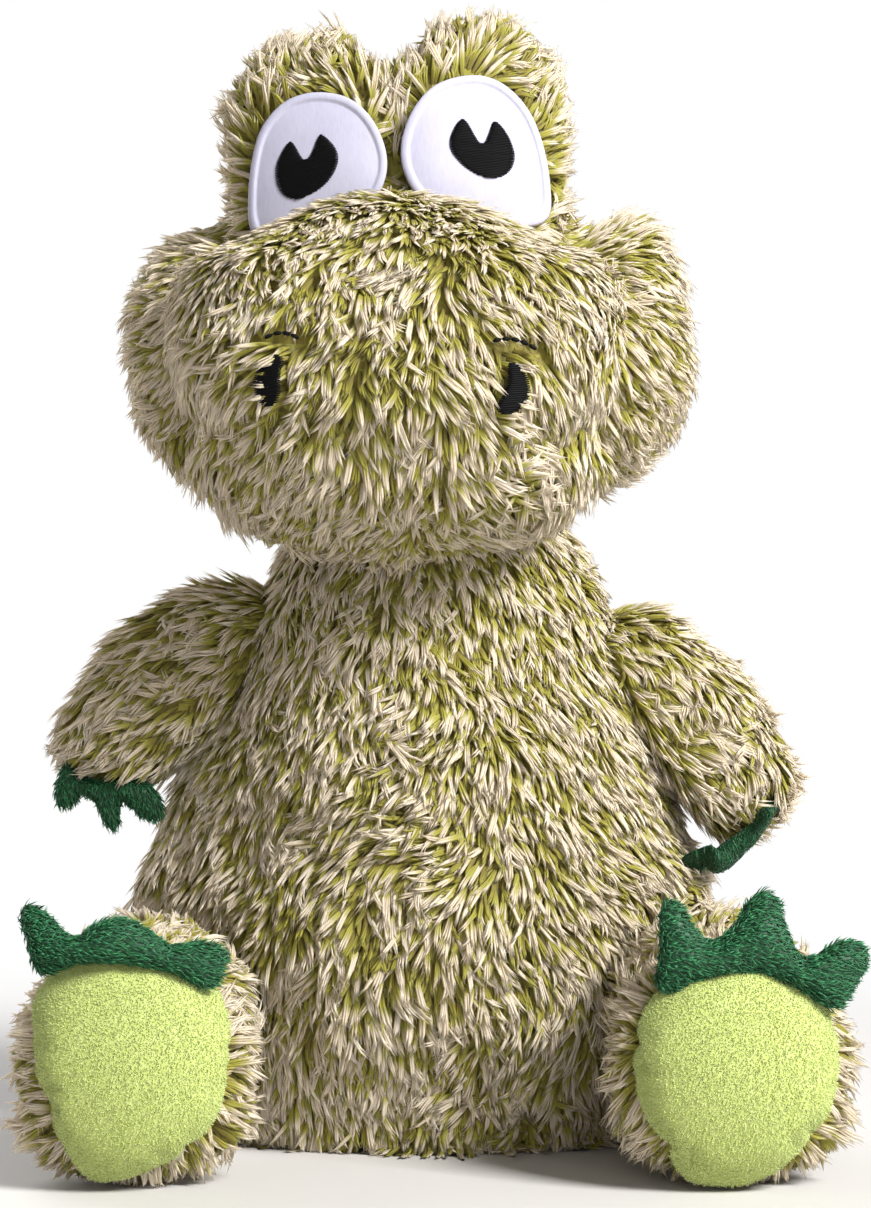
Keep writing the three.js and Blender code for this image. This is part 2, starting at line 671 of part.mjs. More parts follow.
// Arms
for (const { name, side, elbow, hand, claws } of bothSides) {
  const { point, out } = armSeat(side);
  const arm = new THREE.Group();
  arm.position.copy(point);
  toy.add(arm);
  const fromSeat = ([away, forward, down]) => vector(side * away, -forward, -down);
  const elbowMiddle = fromSeat(elbow);
  const handMiddle = fromSeat(hand);
  const stops = [
    { at: out.clone().multiplyScalar(shoulderLift), radius: armRootRadius },
    { at: elbowMiddle, radius: armElbowRadius },
    { at: handMiddle, radius: armHandRadius },
  ];
  const clear = (grow) => halfSpace(out.clone().multiplyScalar(2 * swingGap - grow), out);
  const armForm = (grow) => {
    const plugDepth = armSeatDepth + Math.max(0, -grow);
    const plugStart = out.clone().multiplyScalar(-plugDepth);
    const plugTop = grow < 0 ? 2 * shoulderLift + (grow + plushThickness) / 2 : shoulderLift;
    const plug = bar(plugStart, out, armRootRadius + grow, plugDepth + plugTop, smallSides);
    return sleeve(stops, grow).intersect(clear(Math.min(grow, 0))).add(plug);
  };
  const seat = halfSpace(out.clone().multiplyScalar(seamGap - armSeatDepth), out.clone().negate());
  addPouch(arm, name + "_arm", pouch(armForm, [() => seat]));

  const turn = radians(claws.turn);
  const way = vector(side * Math.sin(turn), 0, -Math.cos(turn));
  const crown = clawCrown(handClawInner, handClawValley, handClawTip, handClawSpan, handClawThickness);
  crown.rotateY(Math.atan2(way.x, way.z));
  const root = handMiddle.clone().addScaledVector(way, armHandRadius * claws.reach);
  crown.translate(root.x, root.y - armHandRadius * handClawForward, root.z);
  const handClaws = solidOf(crown).subtract(armForm(seamGap)).intersect(clear(0));
  addPiece(arm, name + "_hand_claws", handClaws, minky);
}

// The open mouth of a limb's pouch, from its ball's middle into the torso.
const rootMouth = (out, ballRadius) =>
  bar(vector(0, 0, 0), out.clone().negate(), rootHoleRadius, 2 * ballRadius, fillSides);

// Legs
for (const { name, side } of bothSides) {
  const { middle, out } = hipBall(side);
  const leg = new THREE.Group();
  leg.position.copy(middle);
  toy.add(leg);
  const floor = -middle.z;
  const girth = (t) => THREE.MathUtils.lerp(hipBallRadius, footRadius, t);
  const footDrop = hipBallHeight + floorPress - footRadius;
  const foot = vector(side * footSpread, -footForward, -footDrop);
  const knee = vector(side * footSpread * kneeShare, -footForward * kneeShare, -footDrop);
  const curve = new THREE.QuadraticBezierCurve3(vector(0, 0, 0), knee, foot);
  const onFloor = halfSpace(vector(0, 0, floor), vector(0, 0, 1));
  const legForm = (grow) => {
    const whole = limb({ curve, girth, domeFrom: soleFrom }, grow);
    return whole.intersect(halfSpace(vector(0, 0, floor - Math.min(grow, 0)), vector(0, 0, 1)));
  };
  const mouth = rootMouth(out, hipBallRadius);
  const { cover, fill } = pouch(legForm, []);
  addPouch(leg, name + "_leg", { cover: cover.subtract(mouth), fill });

  const sole = curve.getTangentAt(1);
  const padMiddle = foot.clone().add(vector(0, padSetIn, padRise));
  const padPrism = prism(oval(padHalfWidth, padHalfHeight), padMiddle);
  const padLayer = legForm(seamGap + padThickness).subtract(legForm(seamGap));
  addPiece(leg, name + "_foot_pad", padLayer.intersect(padPrism).intersect(onFloor), fleece);

  const crown = clawCrown(footClawInner, footClawValley, footClawTip, footClawSpan, footClawThickness);
  crown.rotateY(radians(side * footClawTurn));
  crown.rotateX(radians(footClawLean));
  const crownMiddle = foot.clone().addScaledVector(sole, -footClawThickness / 2);
  crown.translate(crownMiddle.x, crownMiddle.y, crownMiddle.z + padRise);
  const padRoom = legForm(2 * seamGap + padThickness).intersect(padPrism);
  const footClaws = solidOf(crown).subtract(legForm(seamGap)).subtract(padRoom);
  addPiece(leg, name + "_foot_claws", footClaws, minky);
}

// Tail
const tail = new THREE.Group();
tail.position.copy(tailBall);
toy.add(tail);
const tailFloor = -tailBall.z;
const tailTip = vector(0, tailLength, tailFloor + tailTipRadius - floorPress);
const tailLine = new THREE.LineCurve3(vector(0, 0, 0), tailTip);
const tailGirth = (t) => THREE.MathUtils.lerp(tailBallRadius, tailTipRadius, t);
const tailForm = (grow) => {
  const whole = limb({ curve: tailLine, girth: tailGirth, domeFrom: tailEndFrom }, grow);
  return whole.intersect(halfSpace(vector(0, 0, tailFloor - Math.min(grow, 0)), vector(0, 0, 1)));
};
const tailMouth = rootMouth(tailSeat.out, tailBallRadius);
const tailPouch = pouch(tailForm, []);
addPouch(tail, "tail", { cover: tailPouch.cover.subtract(tailMouth), fill: tailPouch.fill });

// Turning points and axes of the joints
toy.userData.joints = {
  neck: { at: neckMiddle },
  arms: bothSides.map(({ side }) => armSeat(side)),
  hips: bothSides.map(({ side }) => hipBall(side)),
  tail: { at: tailBall },
};

export default toy;
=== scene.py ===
import json
import math

import bmesh
import bpy
import numpy as np
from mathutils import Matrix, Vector
from mathutils.bvhtree import BVHTree
from mathutils.geometry import delaunay_2d_cdt
from mathutils.kdtree import KDTree

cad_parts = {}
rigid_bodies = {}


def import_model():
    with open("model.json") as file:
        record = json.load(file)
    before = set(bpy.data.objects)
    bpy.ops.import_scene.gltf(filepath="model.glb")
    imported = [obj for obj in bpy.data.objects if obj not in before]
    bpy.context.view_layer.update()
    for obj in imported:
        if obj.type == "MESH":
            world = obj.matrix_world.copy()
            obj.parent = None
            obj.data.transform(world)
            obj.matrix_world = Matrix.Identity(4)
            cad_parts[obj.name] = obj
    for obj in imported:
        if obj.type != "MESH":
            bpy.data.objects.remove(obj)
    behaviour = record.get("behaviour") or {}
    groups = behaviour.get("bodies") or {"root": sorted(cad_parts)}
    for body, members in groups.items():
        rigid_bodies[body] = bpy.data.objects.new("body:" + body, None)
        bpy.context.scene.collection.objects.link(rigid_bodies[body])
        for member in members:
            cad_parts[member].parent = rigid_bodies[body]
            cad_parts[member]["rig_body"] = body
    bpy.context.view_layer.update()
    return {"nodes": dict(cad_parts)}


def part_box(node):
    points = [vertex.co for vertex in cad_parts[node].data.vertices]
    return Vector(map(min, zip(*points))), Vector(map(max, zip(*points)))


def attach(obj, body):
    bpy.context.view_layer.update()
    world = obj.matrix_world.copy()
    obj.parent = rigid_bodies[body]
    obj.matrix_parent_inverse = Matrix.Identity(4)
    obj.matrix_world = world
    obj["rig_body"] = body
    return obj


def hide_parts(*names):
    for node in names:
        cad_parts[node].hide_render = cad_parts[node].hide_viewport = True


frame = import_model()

scene = bpy.context.scene
nodes = frame["nodes"]
mm = 0.001
sides = {"right": -1, "left": 1}  # the toy's own right is at -X


def place(name, data):
    thing = bpy.data.objects.new(name, data)
    scene.collection.objects.link(thing)
    return thing


# camera, placed as the photograph was taken: level, 0.9 m in front of the toy
shot = {
    "image": (871, 1208),
    "distance": 900.0,  # mm from the lens to the plane y = 0
    "height": 135.6,
    "focalPixels": 3348.0,
    "axisPixel": (432.0, 625.0),  # where x = 0 and the lens height fall in the image
    "sensor": 36.0,
}
camera = place("camera", bpy.data.cameras.new("camera"))
camera.location = (0, -shot["distance"] * mm, shot["height"] * mm)
camera.rotation_euler = (math.pi / 2, 0, 0)
camera.data.sensor_width = shot["sensor"]
camera.data.lens = shot["sensor"] * shot["focalPixels"] / shot["image"][1]
camera.data.shift_x = (shot["image"][0] / 2 - shot["axisPixel"][0]) / shot["image"][1]
camera.data.shift_y = (shot["axisPixel"][1] - shot["image"][1] / 2) / shot["image"][1]
camera.data.clip_start = 0.01
scene.camera = camera


def atPixel(u, v, y):  # a photograph pixel as x and z in mm, on the plane at depth y
    reach = (shot["distance"] + y) / shot["focalPixels"]
    return (u - shot["axisPixel"][0]) * reach, shot["height"] - (v - shot["axisPixel"][1]) * reach


def pixelOf(spots):  # and back: where points in mm fall in the photograph
    scale = shot["focalPixels"] / (shot["distance"] + spots[:, 1])
    return (shot["axisPixel"][0] + spots[:, 0] * scale,
            shot["axisPixel"][1] - (spots[:, 2] - shot["height"]) * scale)


def traced(outline, y):
    return np.array([atPixel(u, v, y) for u, v in outline])


# colours and nodes
def linear(code):  # an sRGB hex code as a linear colour
    parts = [int(code[i:i + 2], 16) / 255 for i in (1, 3, 5)]
    return [p / 12.92 if p <= 0.04045 else ((p + 0.055) / 1.055) ** 2.4 for p in parts] + [1.0]


def addNode(tree, kind, settings=None, links=None):
    node = tree.nodes.new(kind)
    for key, value in (settings or {}).items():
        if key == "stops":
            stops = node.color_ramp.elements
            while len(stops) < len(value):
                stops.new(0.5)
            for stop, (place, code) in zip(stops, value):
                stop.position = place
                stop.color = linear(code)
        elif isinstance(key, int) or key in node.inputs:
            node.inputs[key].default_value = value
        else:
            setattr(node, key, value)
    for key, source in (links or {}).items():
        tree.links.new(source, node.inputs[key])
    return node


def compute(tree, operation, links, values=None):
    settings = {"operation": operation, **(values or {})}
    return addNode(tree, "ShaderNodeMath", settings, links).outputs[0]


def ramp(tree, source, stops):
    return addNode(tree, "ShaderNodeValToRGB", {"stops": stops}, {0: source}).outputs[0]


def noise(tree, spot, scale, detail, roughness=0.5):
    settings = {"Scale": scale, "Detail": detail, "Roughness": roughness}
    return addNode(tree, "ShaderNodeTexNoise", settings, {"Vector": spot}).outputs[0]


def bump(tree, height, strength, distance):  # distance in mm
    settings = {"Strength": strength, "Distance": distance * mm}
    return addNode(tree, "ShaderNodeBump", settings, {"Height": height}).outputs[0]


def newMaterial(name):
    material = bpy.data.materials.new(name)
    material.use_nodes = True
    tree = material.node_tree
    tree.nodes.clear()
    return material, tree


def principled(tree, coat, links):
    return addNode(tree, "ShaderNodeBsdfPrincipled", coat, links).outputs[0]


def surface(tree, shader):
    addNode(tree, "ShaderNodeOutputMaterial", None, {0: shader})


def objectSpot(tree):
    return addNode(tree, "ShaderNodeTexCoord").outputs["Object"]


# The chart of a piled cloth: u is a lock's own shade and v runs from its root to its tip.
def alongLock(tree, gain, start):  # the place along a lock, moved by its shade, and the shade
    chart = addNode(tree, "ShaderNodeUVMap", {"uv_map": "OFBake"})
    shade, height, _ = addNode(tree, "ShaderNodeSeparateXYZ", None, {0: chart.outputs[0]}).outputs
    early = compute(tree, "MULTIPLY_ADD", {0: shade}, {1: gain, 2: start})
    return compute(tree, "ADD", {0: height, 1: early}), shade


# Long polyester pile with bleached tips on a knitted back: matt locks, lime along the shaft and cream at
# the ends, each lock of a slightly different tone. The olive towards the roots is partly the yarn's own
# colour and partly painted shade in the gaps between locks.
def frostedPile():
    material, tree = newMaterial("frostedPolyesterPile")
    along, shade = alongLock(tree, 0.8, -0.46)
    # partly painted shade: the darker olive at the root end of the chart stands for shade in the gaps
    # between locks
    shaft = ramp(tree, along, [(0.0, "#9a8f47"), (0.2, "#b2ab4d"), (0.4, "#c0be57"), (0.52, "#d6cf95"),
                               (0.64, "#f3ead9"), (1.0, "#fcf5e9")])
    repeat = compute(tree, "MULTIPLY", {0: shade}, {1: 23.0})
    tone = ramp(tree, compute(tree, "FRACT", {0: repeat}),
                [(0.0, "#e6e0d5"), (0.35, "#f8f4eb"), (0.7, "#fefcf6"), (1.0, "#ffffff")])
    mixed = addNode(tree, "ShaderNodeMix", {"data_type": "RGBA", "blend_type": "MULTIPLY", 0: 1.0},
                    {6: shaft, 7: tone}).outputs[2]
    coat = {"Roughness": 0.62, "Specular IOR Level": 0.3, "Sheen Weight": 0.2, "Sheen Roughness": 0.45,
            "Sheen Tint": linear("#f4ead2")}
    cloth = principled(tree, coat, {"Base Color": mixed})
    glow = addNode(tree, "ShaderNodeBsdfTranslucent", None, {"Color": mixed}).outputs[0]
    fibre = addNode(tree, "ShaderNodeMixShader", {0: 0.42}, {1: cloth, 2: glow})
    surface(tree, fibre.outputs[0])
    return material


# Short pile over its own cloth: lighter at its ends and darker towards its roots, painted light on the tips
# and painted shade where it parts.
def shortPile(name, gain, stops, coat):
    material, tree = newMaterial(name)
    along, _ = alongLock(tree, gain, -gain / 2)
    # painted light and shade: the ramp runs from dark at the roots and backing to light at the tips
    surface(tree, principled(tree, coat, {"Base Color": ramp(tree, along, stops)}))
    return material


# White satin over wadding, faintly glossy: a weave of 0.3 mm threads, drawn at 0.7 mm so that it shows.
# Its lavender grey is partly painted shade: the white darkened and cooled as satin looks in shadow.
def whiteSatinPaintedShade():
    material, tree = newMaterial("wovenWhiteSatin")
    spot = objectSpot(tree)
    threads = addNode(tree, "ShaderNodeMapping", {"Scale": (1.0 / (0.7 * mm), 300.0, 1.0 / (2.6 * mm))},
                      {"Vector": spot}).outputs[0]
    weave = noise(tree, threads, 1.0, 3.0, 0.6)
    cloudy = noise(tree, spot, 1.0 / (9 * mm), 2.0)
    both = addNode(tree, "ShaderNodeMix", {"data_type": "FLOAT", 0: 0.45}, {2: weave, 3: cloudy}).outputs[0]
    # partly painted shade: a lavender grey in place of the satin's white
    white = ramp(tree, both, [(0.3, "#b9b7ca"), (0.65, "#c5c3d6")])
    surface(tree, principled(tree, {"Roughness": 0.6, "Specular IOR Level": 0.2, "Sheen Weight": 0.1},
                             {"Base Color": white, "Normal": bump(tree, weave, 0.25, 0.15)}))
    return material


# Black rayon embroidery thread: each stitch is its own cord, so only fine streaks are left to the nodes.
def blackThread():
    material, tree = newMaterial("blackEmbroideryThread")
    fine = 1.0 / (0.3 * mm)
    streaks = addNode(tree, "ShaderNodeMapping", {"Scale": (1.0 / (1.6 * mm), fine, fine)},
                      {"Vector": objectSpot(tree)}).outputs[0]
    twist = noise(tree, streaks, 1.0, 2.0)
    black = ramp(tree, twist, [(0.3, "#040405"), (0.75, "#0d0d0f")])
    gloss = addNode(tree, "ShaderNodeMapRange", {"To Min": 0.5, "To Max": 0.7}, {"Value": twist}).outputs[0]
    surface(tree, principled(tree, {"Specular IOR Level": 0.1}, {"Base Color": black, "Roughness": gloss}))
    return material


# One noise that gives both the shade and the relief: clumps of fibre, or the skin of a moulding.
def grained(name, grain, relief, stops, coat):
    material, tree = newMaterial(name)
    size, detail, roughness = grain
    speck = noise(tree, objectSpot(tree), 1.0 / (size * mm), detail, roughness)
    surface(tree, principled(tree, coat, {"Base Color": ramp(tree, speck, stops),
                                          "Normal": bump(tree, speck, *relief)}))
    return material


finish = {
    "pile": frostedPile(),
    # brushed lime fleece, dense and soft
    "fleece": shortPile(
        "brushedLimeFleece", 0.5, [(0.0, "#adba66"), (0.35, "#b8c474"), (0.7, "#c3ce84"), (1.0, "#d0d99a")],
        {"Roughness": 0.8, "Specular IOR Level": 0.2, "Sheen Weight": 0.35, "Sheen Roughness": 0.5,
         "Sheen Tint": linear("#eef5cf")}),
    # combed minky, bottle green: silky, lies one way, with painted light and shade in bands along its
    # ridges
    "minky": shortPile(
        "combedGreenMinky", 0.6, [(0.0, "#0a381b"), (0.4, "#114826"), (0.75, "#1c6136"), (1.0, "#3c8858")],
        {"Roughness": 0.5, "Specular IOR Level": 0.35, "Sheen Weight": 0.25, "Sheen Roughness": 0.35,
         "Sheen Tint": linear("#a8d8b8")}),
    "satin": whiteSatinPaintedShade(),
    "thread": blackThread(),
    # polyester fibrefill: white, matt, clumped in tufts of a few millimetres
    "filling": grained("clumpedFibrefill", (4, 5.0, 0.7), (0.8, 1.5), [(0.3, "#d9d7d0"), (0.7, "#f7f6f2")],
                       {"Roughness": 0.9, "Specular IOR Level": 0.15}),
    # blow-moulded soft vinyl for the squeaker's bulb, and injection-moulded ABS for its reed
    "vinyl": grained("blownSoftVinyl", (3.0, 2.0, 0.5), (0.15, 0.1), [(0.35, "#e9e2d2"), (0.65, "#f3eddf")],
                     {"Roughness": 0.42, "IOR": 1.53}),
    "reed": grained("mouldedWhiteAbs", (0.8, 2.0, 0.5), (0.15, 0.1), [(0.35, "#dcdcdc"), (0.65, "#eeeeee")],
                    {"Roughness": 0.35, "IOR": 1.53}),
}
print("materials ready")


# mesh helpers, all in millimetres until the mesh is written
def unit(rows):
    return rows / np.maximum(np.linalg.norm(rows, axis=1, keepdims=True), 1e-9)


def squareTo(rows, axes):  # the direction of each row's part at right angles to its axis
    return unit(rows - axes * (rows * axes).sum(1, keepdims=True))


def ease(values, start, end):  # 0 before the start, 1 after the end
    share = np.clip((values - start) / (end - start), 0, 1)
    return share * share * (3 - 2 * share)


def fade(values, start, end):  # 1 before the start, 0 after the end
    return ease(-values, -end, -start)


def writeMesh(name, points, faceSets, chartSets, material):
    mesh = bpy.data.meshes.new(name)
    corners = np.concatenate([f.ravel() for f in faceSets]).astype(np.int32)
    totals = np.concatenate([np.full(len(f), f.shape[1]) for f in faceSets])
    starts = np.concatenate([[0], np.cumsum(totals)[:-1]]).astype(np.int32)
    mesh.vertices.add(len(points))
    mesh.vertices.foreach_set("co", (points * mm).astype(np.float32).ravel())
    mesh.loops.add(len(corners))
    mesh.loops.foreach_set("vertex_index", corners)
    mesh.polygons.add(len(starts))
    mesh.polygons.foreach_set("loop_start", starts)
    mesh.update(calc_edges=True)
    if chartSets:
        chart = np.concatenate([c.reshape(-1, 2) for c in chartSets]).astype(np.float32)
        mesh.uv_layers.new(name="OFBake").data.foreach_set("uv", chart.ravel())
    mesh.shade_smooth()
    mesh.materials.append(material)
    return place(name, mesh)


def settle(piece, body, node=None):  # what a piece rides on and stands for
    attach(piece, body)
    if node:
        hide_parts(node)


def readMesh(mesh):  # in the mesh's own unit
    points = np.empty(len(mesh.vertices) * 3)
    mesh.vertices.foreach_get("co", points)
    return points.reshape(-1, 3), [list(p.vertices) for p in mesh.polygons]


def plainMesh(points, faces):
    mesh = bpy.data.meshes.new("draft")
    mesh.from_pydata([list(p) for p in points], [], [list(map(int, f)) for f in faces])
    return mesh


def takeShape(draft):  # a draft after its modifiers, read and then thrown away
    mesh = draft.data
    points, faces = readMesh(draft.evaluated_get(bpy.context.evaluated_depsgraph_get()).to_mesh())
    bpy.data.objects.remove(draft)
    bpy.data.meshes.remove(mesh)
    return points, faces


def shaped(mesh, modifiers):
    draft = place("draft", mesh)
    for kind, settings in modifiers:
        modifier = draft.modifiers.new(kind.lower(), kind)
        for key, value in settings.items():
            setattr(modifier, key, value)
    return takeShape(draft)


def quadsOf(faces):
    return np.array([f for f in faces if len(f) == 4])


def treeOf(points, faceSets):
    return BVHTree.FromPolygons([Vector(p) for p in points], [list(f) for part in faceSets for f in part])


def nodeTree(name):
    points, faces = readMesh(nodes[name].data)
    return treeOf(points / mm, [faces])


def nodeBox(name):
    return (np.array(corner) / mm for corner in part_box(name))


def vertexNormals(points, faces):
    a, b, c = (points[faces[:, i]] for i in (0, 1, 2))
    flat = np.cross(b - a, c - a)
    if faces.shape[1] == 4:
        flat += np.cross(c - a, points[faces[:, 3]] - a)
    total = np.zeros_like(points)
    for i in range(faces.shape[1]):
        np.add.at(total, faces[:, i], flat)
    return unit(total)


def drift(points, wave, seed):  # a smooth wandering vector, for the way the nap strays
    waves, gain = 6, 2.45
    dice = np.random.default_rng(seed)
    total = np.zeros_like(points)
    for _ in range(waves):
        heading = dice.normal(size=3)
        heading /= np.linalg.norm(heading)
        phase = points @ heading * (2 * math.pi / (wave * dice.uniform(0.7, 1.5)))
        total += np.sin(phase[:, None] + dice.uniform(0, 2 * math.pi, 3))
    return total / gain


tuftHash = {"axes": (73856093, 19349663, 83492791), "seed": 2654435761, "column": 668265263,
            "stir": ((15, 2246822519), (13, 3266489917)), "word": 0xFFFFFFFF, "shift": 0.37}


def perTuft(points, size, seed):  # the same random vector for all locks of one tuft
    x, y, z = np.floor(points / size + seed * tuftHash["shift"]).astype(np.int64).T
    alongX, alongY, alongZ = tuftHash["axes"]
    key = x * alongX ^ y * alongY ^ z * alongZ ^ seed * tuftHash["seed"]
    columns = []
    for i in range(3):
        mixed = (key + i * tuftHash["column"]) & tuftHash["word"]
        for bits, factor in tuftHash["stir"]:
            mixed = ((mixed ^ (mixed >> bits)) * factor) & tuftHash["word"]
        columns.append((mixed ^ (mixed >> 16)) / 0x7FFFFFFF - 1)
    return np.stack(columns, 1)


def scatter(points, faces, spacing, dice):  # roots about one spacing apart, with normals and face numbers
    triesPerCell, cellSpan = 5, 8192
    halves = [faces[:, :3]] if faces.shape[1] == 3 else [faces[:, [0, 1, 2]], faces[:, [0, 2, 3]]]
    corners = np.concatenate(halves)
    owner = np.tile(np.arange(len(faces)), len(halves))
    a, b, c = (points[corners[:, i]] for i in range(3))
    area = np.linalg.norm(np.cross(b - a, c - a), axis=1) / 2
    wanted = int(area.sum() / spacing ** 2 * triesPerCell)
    chosen = dice.choice(len(corners), wanted, p=area / area.sum())
    r, s = dice.random(wanted), dice.random(wanted)
    over = r + s > 1
    r[over], s[over] = 1 - r[over], 1 - s[over]
    normals = vertexNormals(points, faces)
    weights = np.stack([1 - r - s, r, s], 1)[:, :, None]
    roots = (points[corners[chosen]] * weights).sum(1)
    facing = unit((normals[corners[chosen]] * weights).sum(1))
    x, y, z = np.floor(roots / spacing).astype(np.int64).T + cellSpan // 2
    cell = (x * cellSpan + y) * cellSpan + z
    first = np.sort(np.unique(cell, return_index=True)[1])  # one root for each cell
    return roots[first], facing[first], owner[chosen[first]]


def lockPath(roots, facing, flow, length, lift, fall, bend):
    # a lock leaves the cloth at its lift angle and ends at its fall angle, bent to one side
    along = squareTo(flow, facing)
    across = np.cross(facing, along)
    first = facing * np.sin(lift)[:, None] + along * np.cos(lift)[:, None]
    last = unit(facing * np.sin(fall)[:, None] + along * np.cos(fall)[:, None] + across * bend[:, None])
    knee = roots + first * (length * 0.5)[:, None]
    tip = knee + last * (length * 0.5)[:, None]
    return roots, knee, tip, across


def pathAt(path, t):
    start, knee, tip, _ = path
    return (1 - t) ** 2 * start + 2 * t * (1 - t) * knee + t ** 2 * tip


def growLocks(path, halfWidth, look, shade):
    # three-sided tapered locks: rings at the stations, a point at the end
    keel, chartWidth, chartStep = 0.4, 0.98, 0.005
    start, knee, tip, side = path
    count, stations = len(start), look["stations"]
    rings = []
    for t, share in zip(stations, look["profile"]):
        centre = pathAt(path, t)
        heading = unit((1 - t) * (knee - start) + t * (tip - knee))
        across = squareTo(side, heading)
        wide = (halfWidth * share)[:, None]
        above = np.cross(heading, across) * wide * look["flatness"]
        aside = across * wide
        rings += [centre + aside - above * keel, centre + above, centre - aside - above * keel]
    points = np.stack(rings + [tip], 1)
    perLock = points.shape[1]
    points = points.reshape(-1, 3)
    points[:, 2] = np.maximum(points[:, 2], look["floor"])
    base = (np.arange(count) * perLock)[:, None]
    bandFaces, bandCharts, tipFaces, tipCharts = [], [], [], []
    columns = shade[:, None] * chartWidth + np.arange(4)[None, :] * chartStep
    for k, level in enumerate(stations):
        v0 = np.full(count, level)
        for corner in range(3):
            here, beside = k * 3 + corner, k * 3 + (corner + 1) % 3
            u0, u1 = columns[:, corner], columns[:, corner + 1]
            if k < len(stations) - 1:
                v1 = np.full(count, stations[k + 1])
                bandFaces.append(base + np.array([here, beside, beside + 3, here + 3]))
                bandCharts.append(np.stack([u0, v0, u1, v0, u1, v1, u0, v1], 1))
            else:
                tipFaces.append(base + np.array([here, beside, perLock - 1]))
                tipCharts.append(np.stack([u0, v0, u1, v0, (u0 + u1) / 2, np.ones(count)], 1))
    return (points, [np.concatenate(bandFaces), np.concatenate(tipFaces)],
            [np.concatenate(bandCharts), np.concatenate(tipCharts)])


def backingChart(faces, dice, depth):  # a small patch of the chart for each face behind the pile
    corner = np.array([[0, 0], [0.02, 0], [0.02, 0.02], [0, 0.02]])[:faces.shape[1]]
    return dice.random((len(faces), 1, 1)) * np.array([0.9, 0.0]) + corner[None] + np.array([0.0, depth])


def together(parts):
    points, faceSets, chartSets, offset = [], [], [], 0
    for part in parts:
        points.append(part[0])
        faceSets += [f + offset for f in part[1]]
        chartSets += part[2]
        offset += len(part[0])
    return np.concatenate(points), faceSets, chartSets


# the sewn skins: each body's covers, joined and smoothed, drawn in by part of the pile's depth
skinLook = {
    "voxel": 2.5,
    "smoothing": 4, "headSmoothing": 9,
    "inset": 3.0,
    "lumps": 0.9, "lumpSize": 38, "seed": 5,  # uneven stuffing
    "floor": 1.2,
    "lip": 186.0,  # height below which stuffing bridges the crease between muzzle and jaw
}
covers = {
    "torso": ["torso_front_cover", "torso_back_cover", "torso_base_panel"],
    "head": ["skull_cover", "muzzle_cover", "jaw_cover", "right_cheek_cover", "left_cheek_cover",
             "right_eye_mound_cover", "left_eye_mound_cover"],
    "tail": ["tail_cover"],
}
for side in sides:
    covers[side + "_arm"] = [side + "_arm_cover"]
    covers[side + "_leg"] = [side + "_leg_cover"]

# how the sewn forms give: amounts in mm or as shares, and pairs of mm over which a move sets in or ends
headShape = {
    "middle": -9.0,  # x of the plane between the eye mounds
    "moundTurn": 0.25, "moundApart": 21.0,  # slope by which each eye looks outwards, and where it starts
    "moundFoot": (222, 246), "moundFront": (-30, 0),
    "moundRound": 0.13, "moundAxis": 22.0, "moundTop": (264, 296),  # tops of the mounds drawn in
    "muzzleDip": 3.0,  # the muzzle's top sinks towards the eyes
    "dipTop": (226, 242), "dipFront": (24, 40), "dipSides": (10, 45),
    "jawNarrow": 0.07, "jawEnd": (164, 186),
    "cheekRise": 6.0, "cheekSide": (38, 54), "cheekTop": (212, 238),  # the left cheek stands higher
    "snout": 14.0,  # the muzzle and lip stand forward, so that the front slopes
    "snoutFoot": (150, 170), "snoutEnd": (176, 236), "snoutFront": (38, 78),
}
belly = {
    "out": 8.0, "halfWidth": 60.0,  # the round of the belly
    "front": (0, 30), "foot": (12, 50), "end": (96, 150),
    "sidesBack": 5.0, "sides": (34, 64),
    "hip": 5.0, "hipSide": (40, 66), "hipFoot": (40, 70), "hipEnd": (95, 125),  # the right hip is fuller
}
shoulderDrop = {"by": 6.5, "from": (118, 150)}  # the left shoulder hangs lower
footSpread = {"by": 0.34, "end": (2, 28)}  # the feet widen where they press on the floor


def joinedHulls(clouds):
    form = bmesh.new()
    for cloud in clouds:
        hull = bmesh.new()
        for spot in cloud:
            hull.verts.new(spot)
        made = bmesh.ops.convex_hull(hull, input=hull.verts)
        inner = [g for g in made["geom_interior"] if isinstance(g, bmesh.types.BMVert)]
        bmesh.ops.delete(hull, geom=inner, context="VERTS")
        shell = bpy.data.meshes.new("shell")
        hull.to_mesh(shell)
        hull.free()
        form.from_mesh(shell)
        bpy.data.meshes.remove(shell)
    joined = bpy.data.meshes.new("joined")
    form.to_mesh(joined)
    form.free()
    return joined


def snoutPush(z):
    return headShape["snout"] * ease(z, *headShape["snoutFoot"]) * fade(z, *headShape["snoutEnd"])


def eyeTurn(x):  # the mounds' fronts turn outwards from the plane between them
    return headShape["moundTurn"] * (np.abs(x - headShape["middle"]) - headShape["moundApart"])


def softHead(x, y, z):
    look, middle = headShape, headShape["middle"]
    y -= snoutPush(z) * ease(-y, *look["snoutFront"])
    y += eyeTurn(x) * ease(z, *look["moundFoot"]) * ease(-y, *look["moundFront"])
    axis = np.where(x < middle, middle - look["moundAxis"], middle + look["moundAxis"])
    x += (axis - x) * look["moundRound"] * ease(z, *look["moundTop"])
    onTop = ease(z, *look["dipTop"]) * ease(-y, *look["dipFront"])
    z -= look["muzzleDip"] * onTop * (1 + ease(np.abs(x - middle), *look["dipSides"]))
    x += (middle - x) * look["jawNarrow"] * fade(z, *look["jawEnd"])
    z += look["cheekRise"] * ease(x, *look["cheekSide"]) * ease(z, *look["cheekTop"])


def softTorso(x, y, z):
    front = ease(-y, *belly["front"]) * ease(z, *belly["foot"]) * fade(z, *belly["end"])
    y -= front * belly["out"] * np.maximum(0, 1 - (x / belly["halfWidth"]) ** 2)
    y += front * belly["sidesBack"] * ease(np.abs(x), *belly["sides"])
    x -= belly["hip"] * ease(-x, *belly["hipSide"]) * ease(z, *belly["hipFoot"]) * fade(z, *belly["hipEnd"])


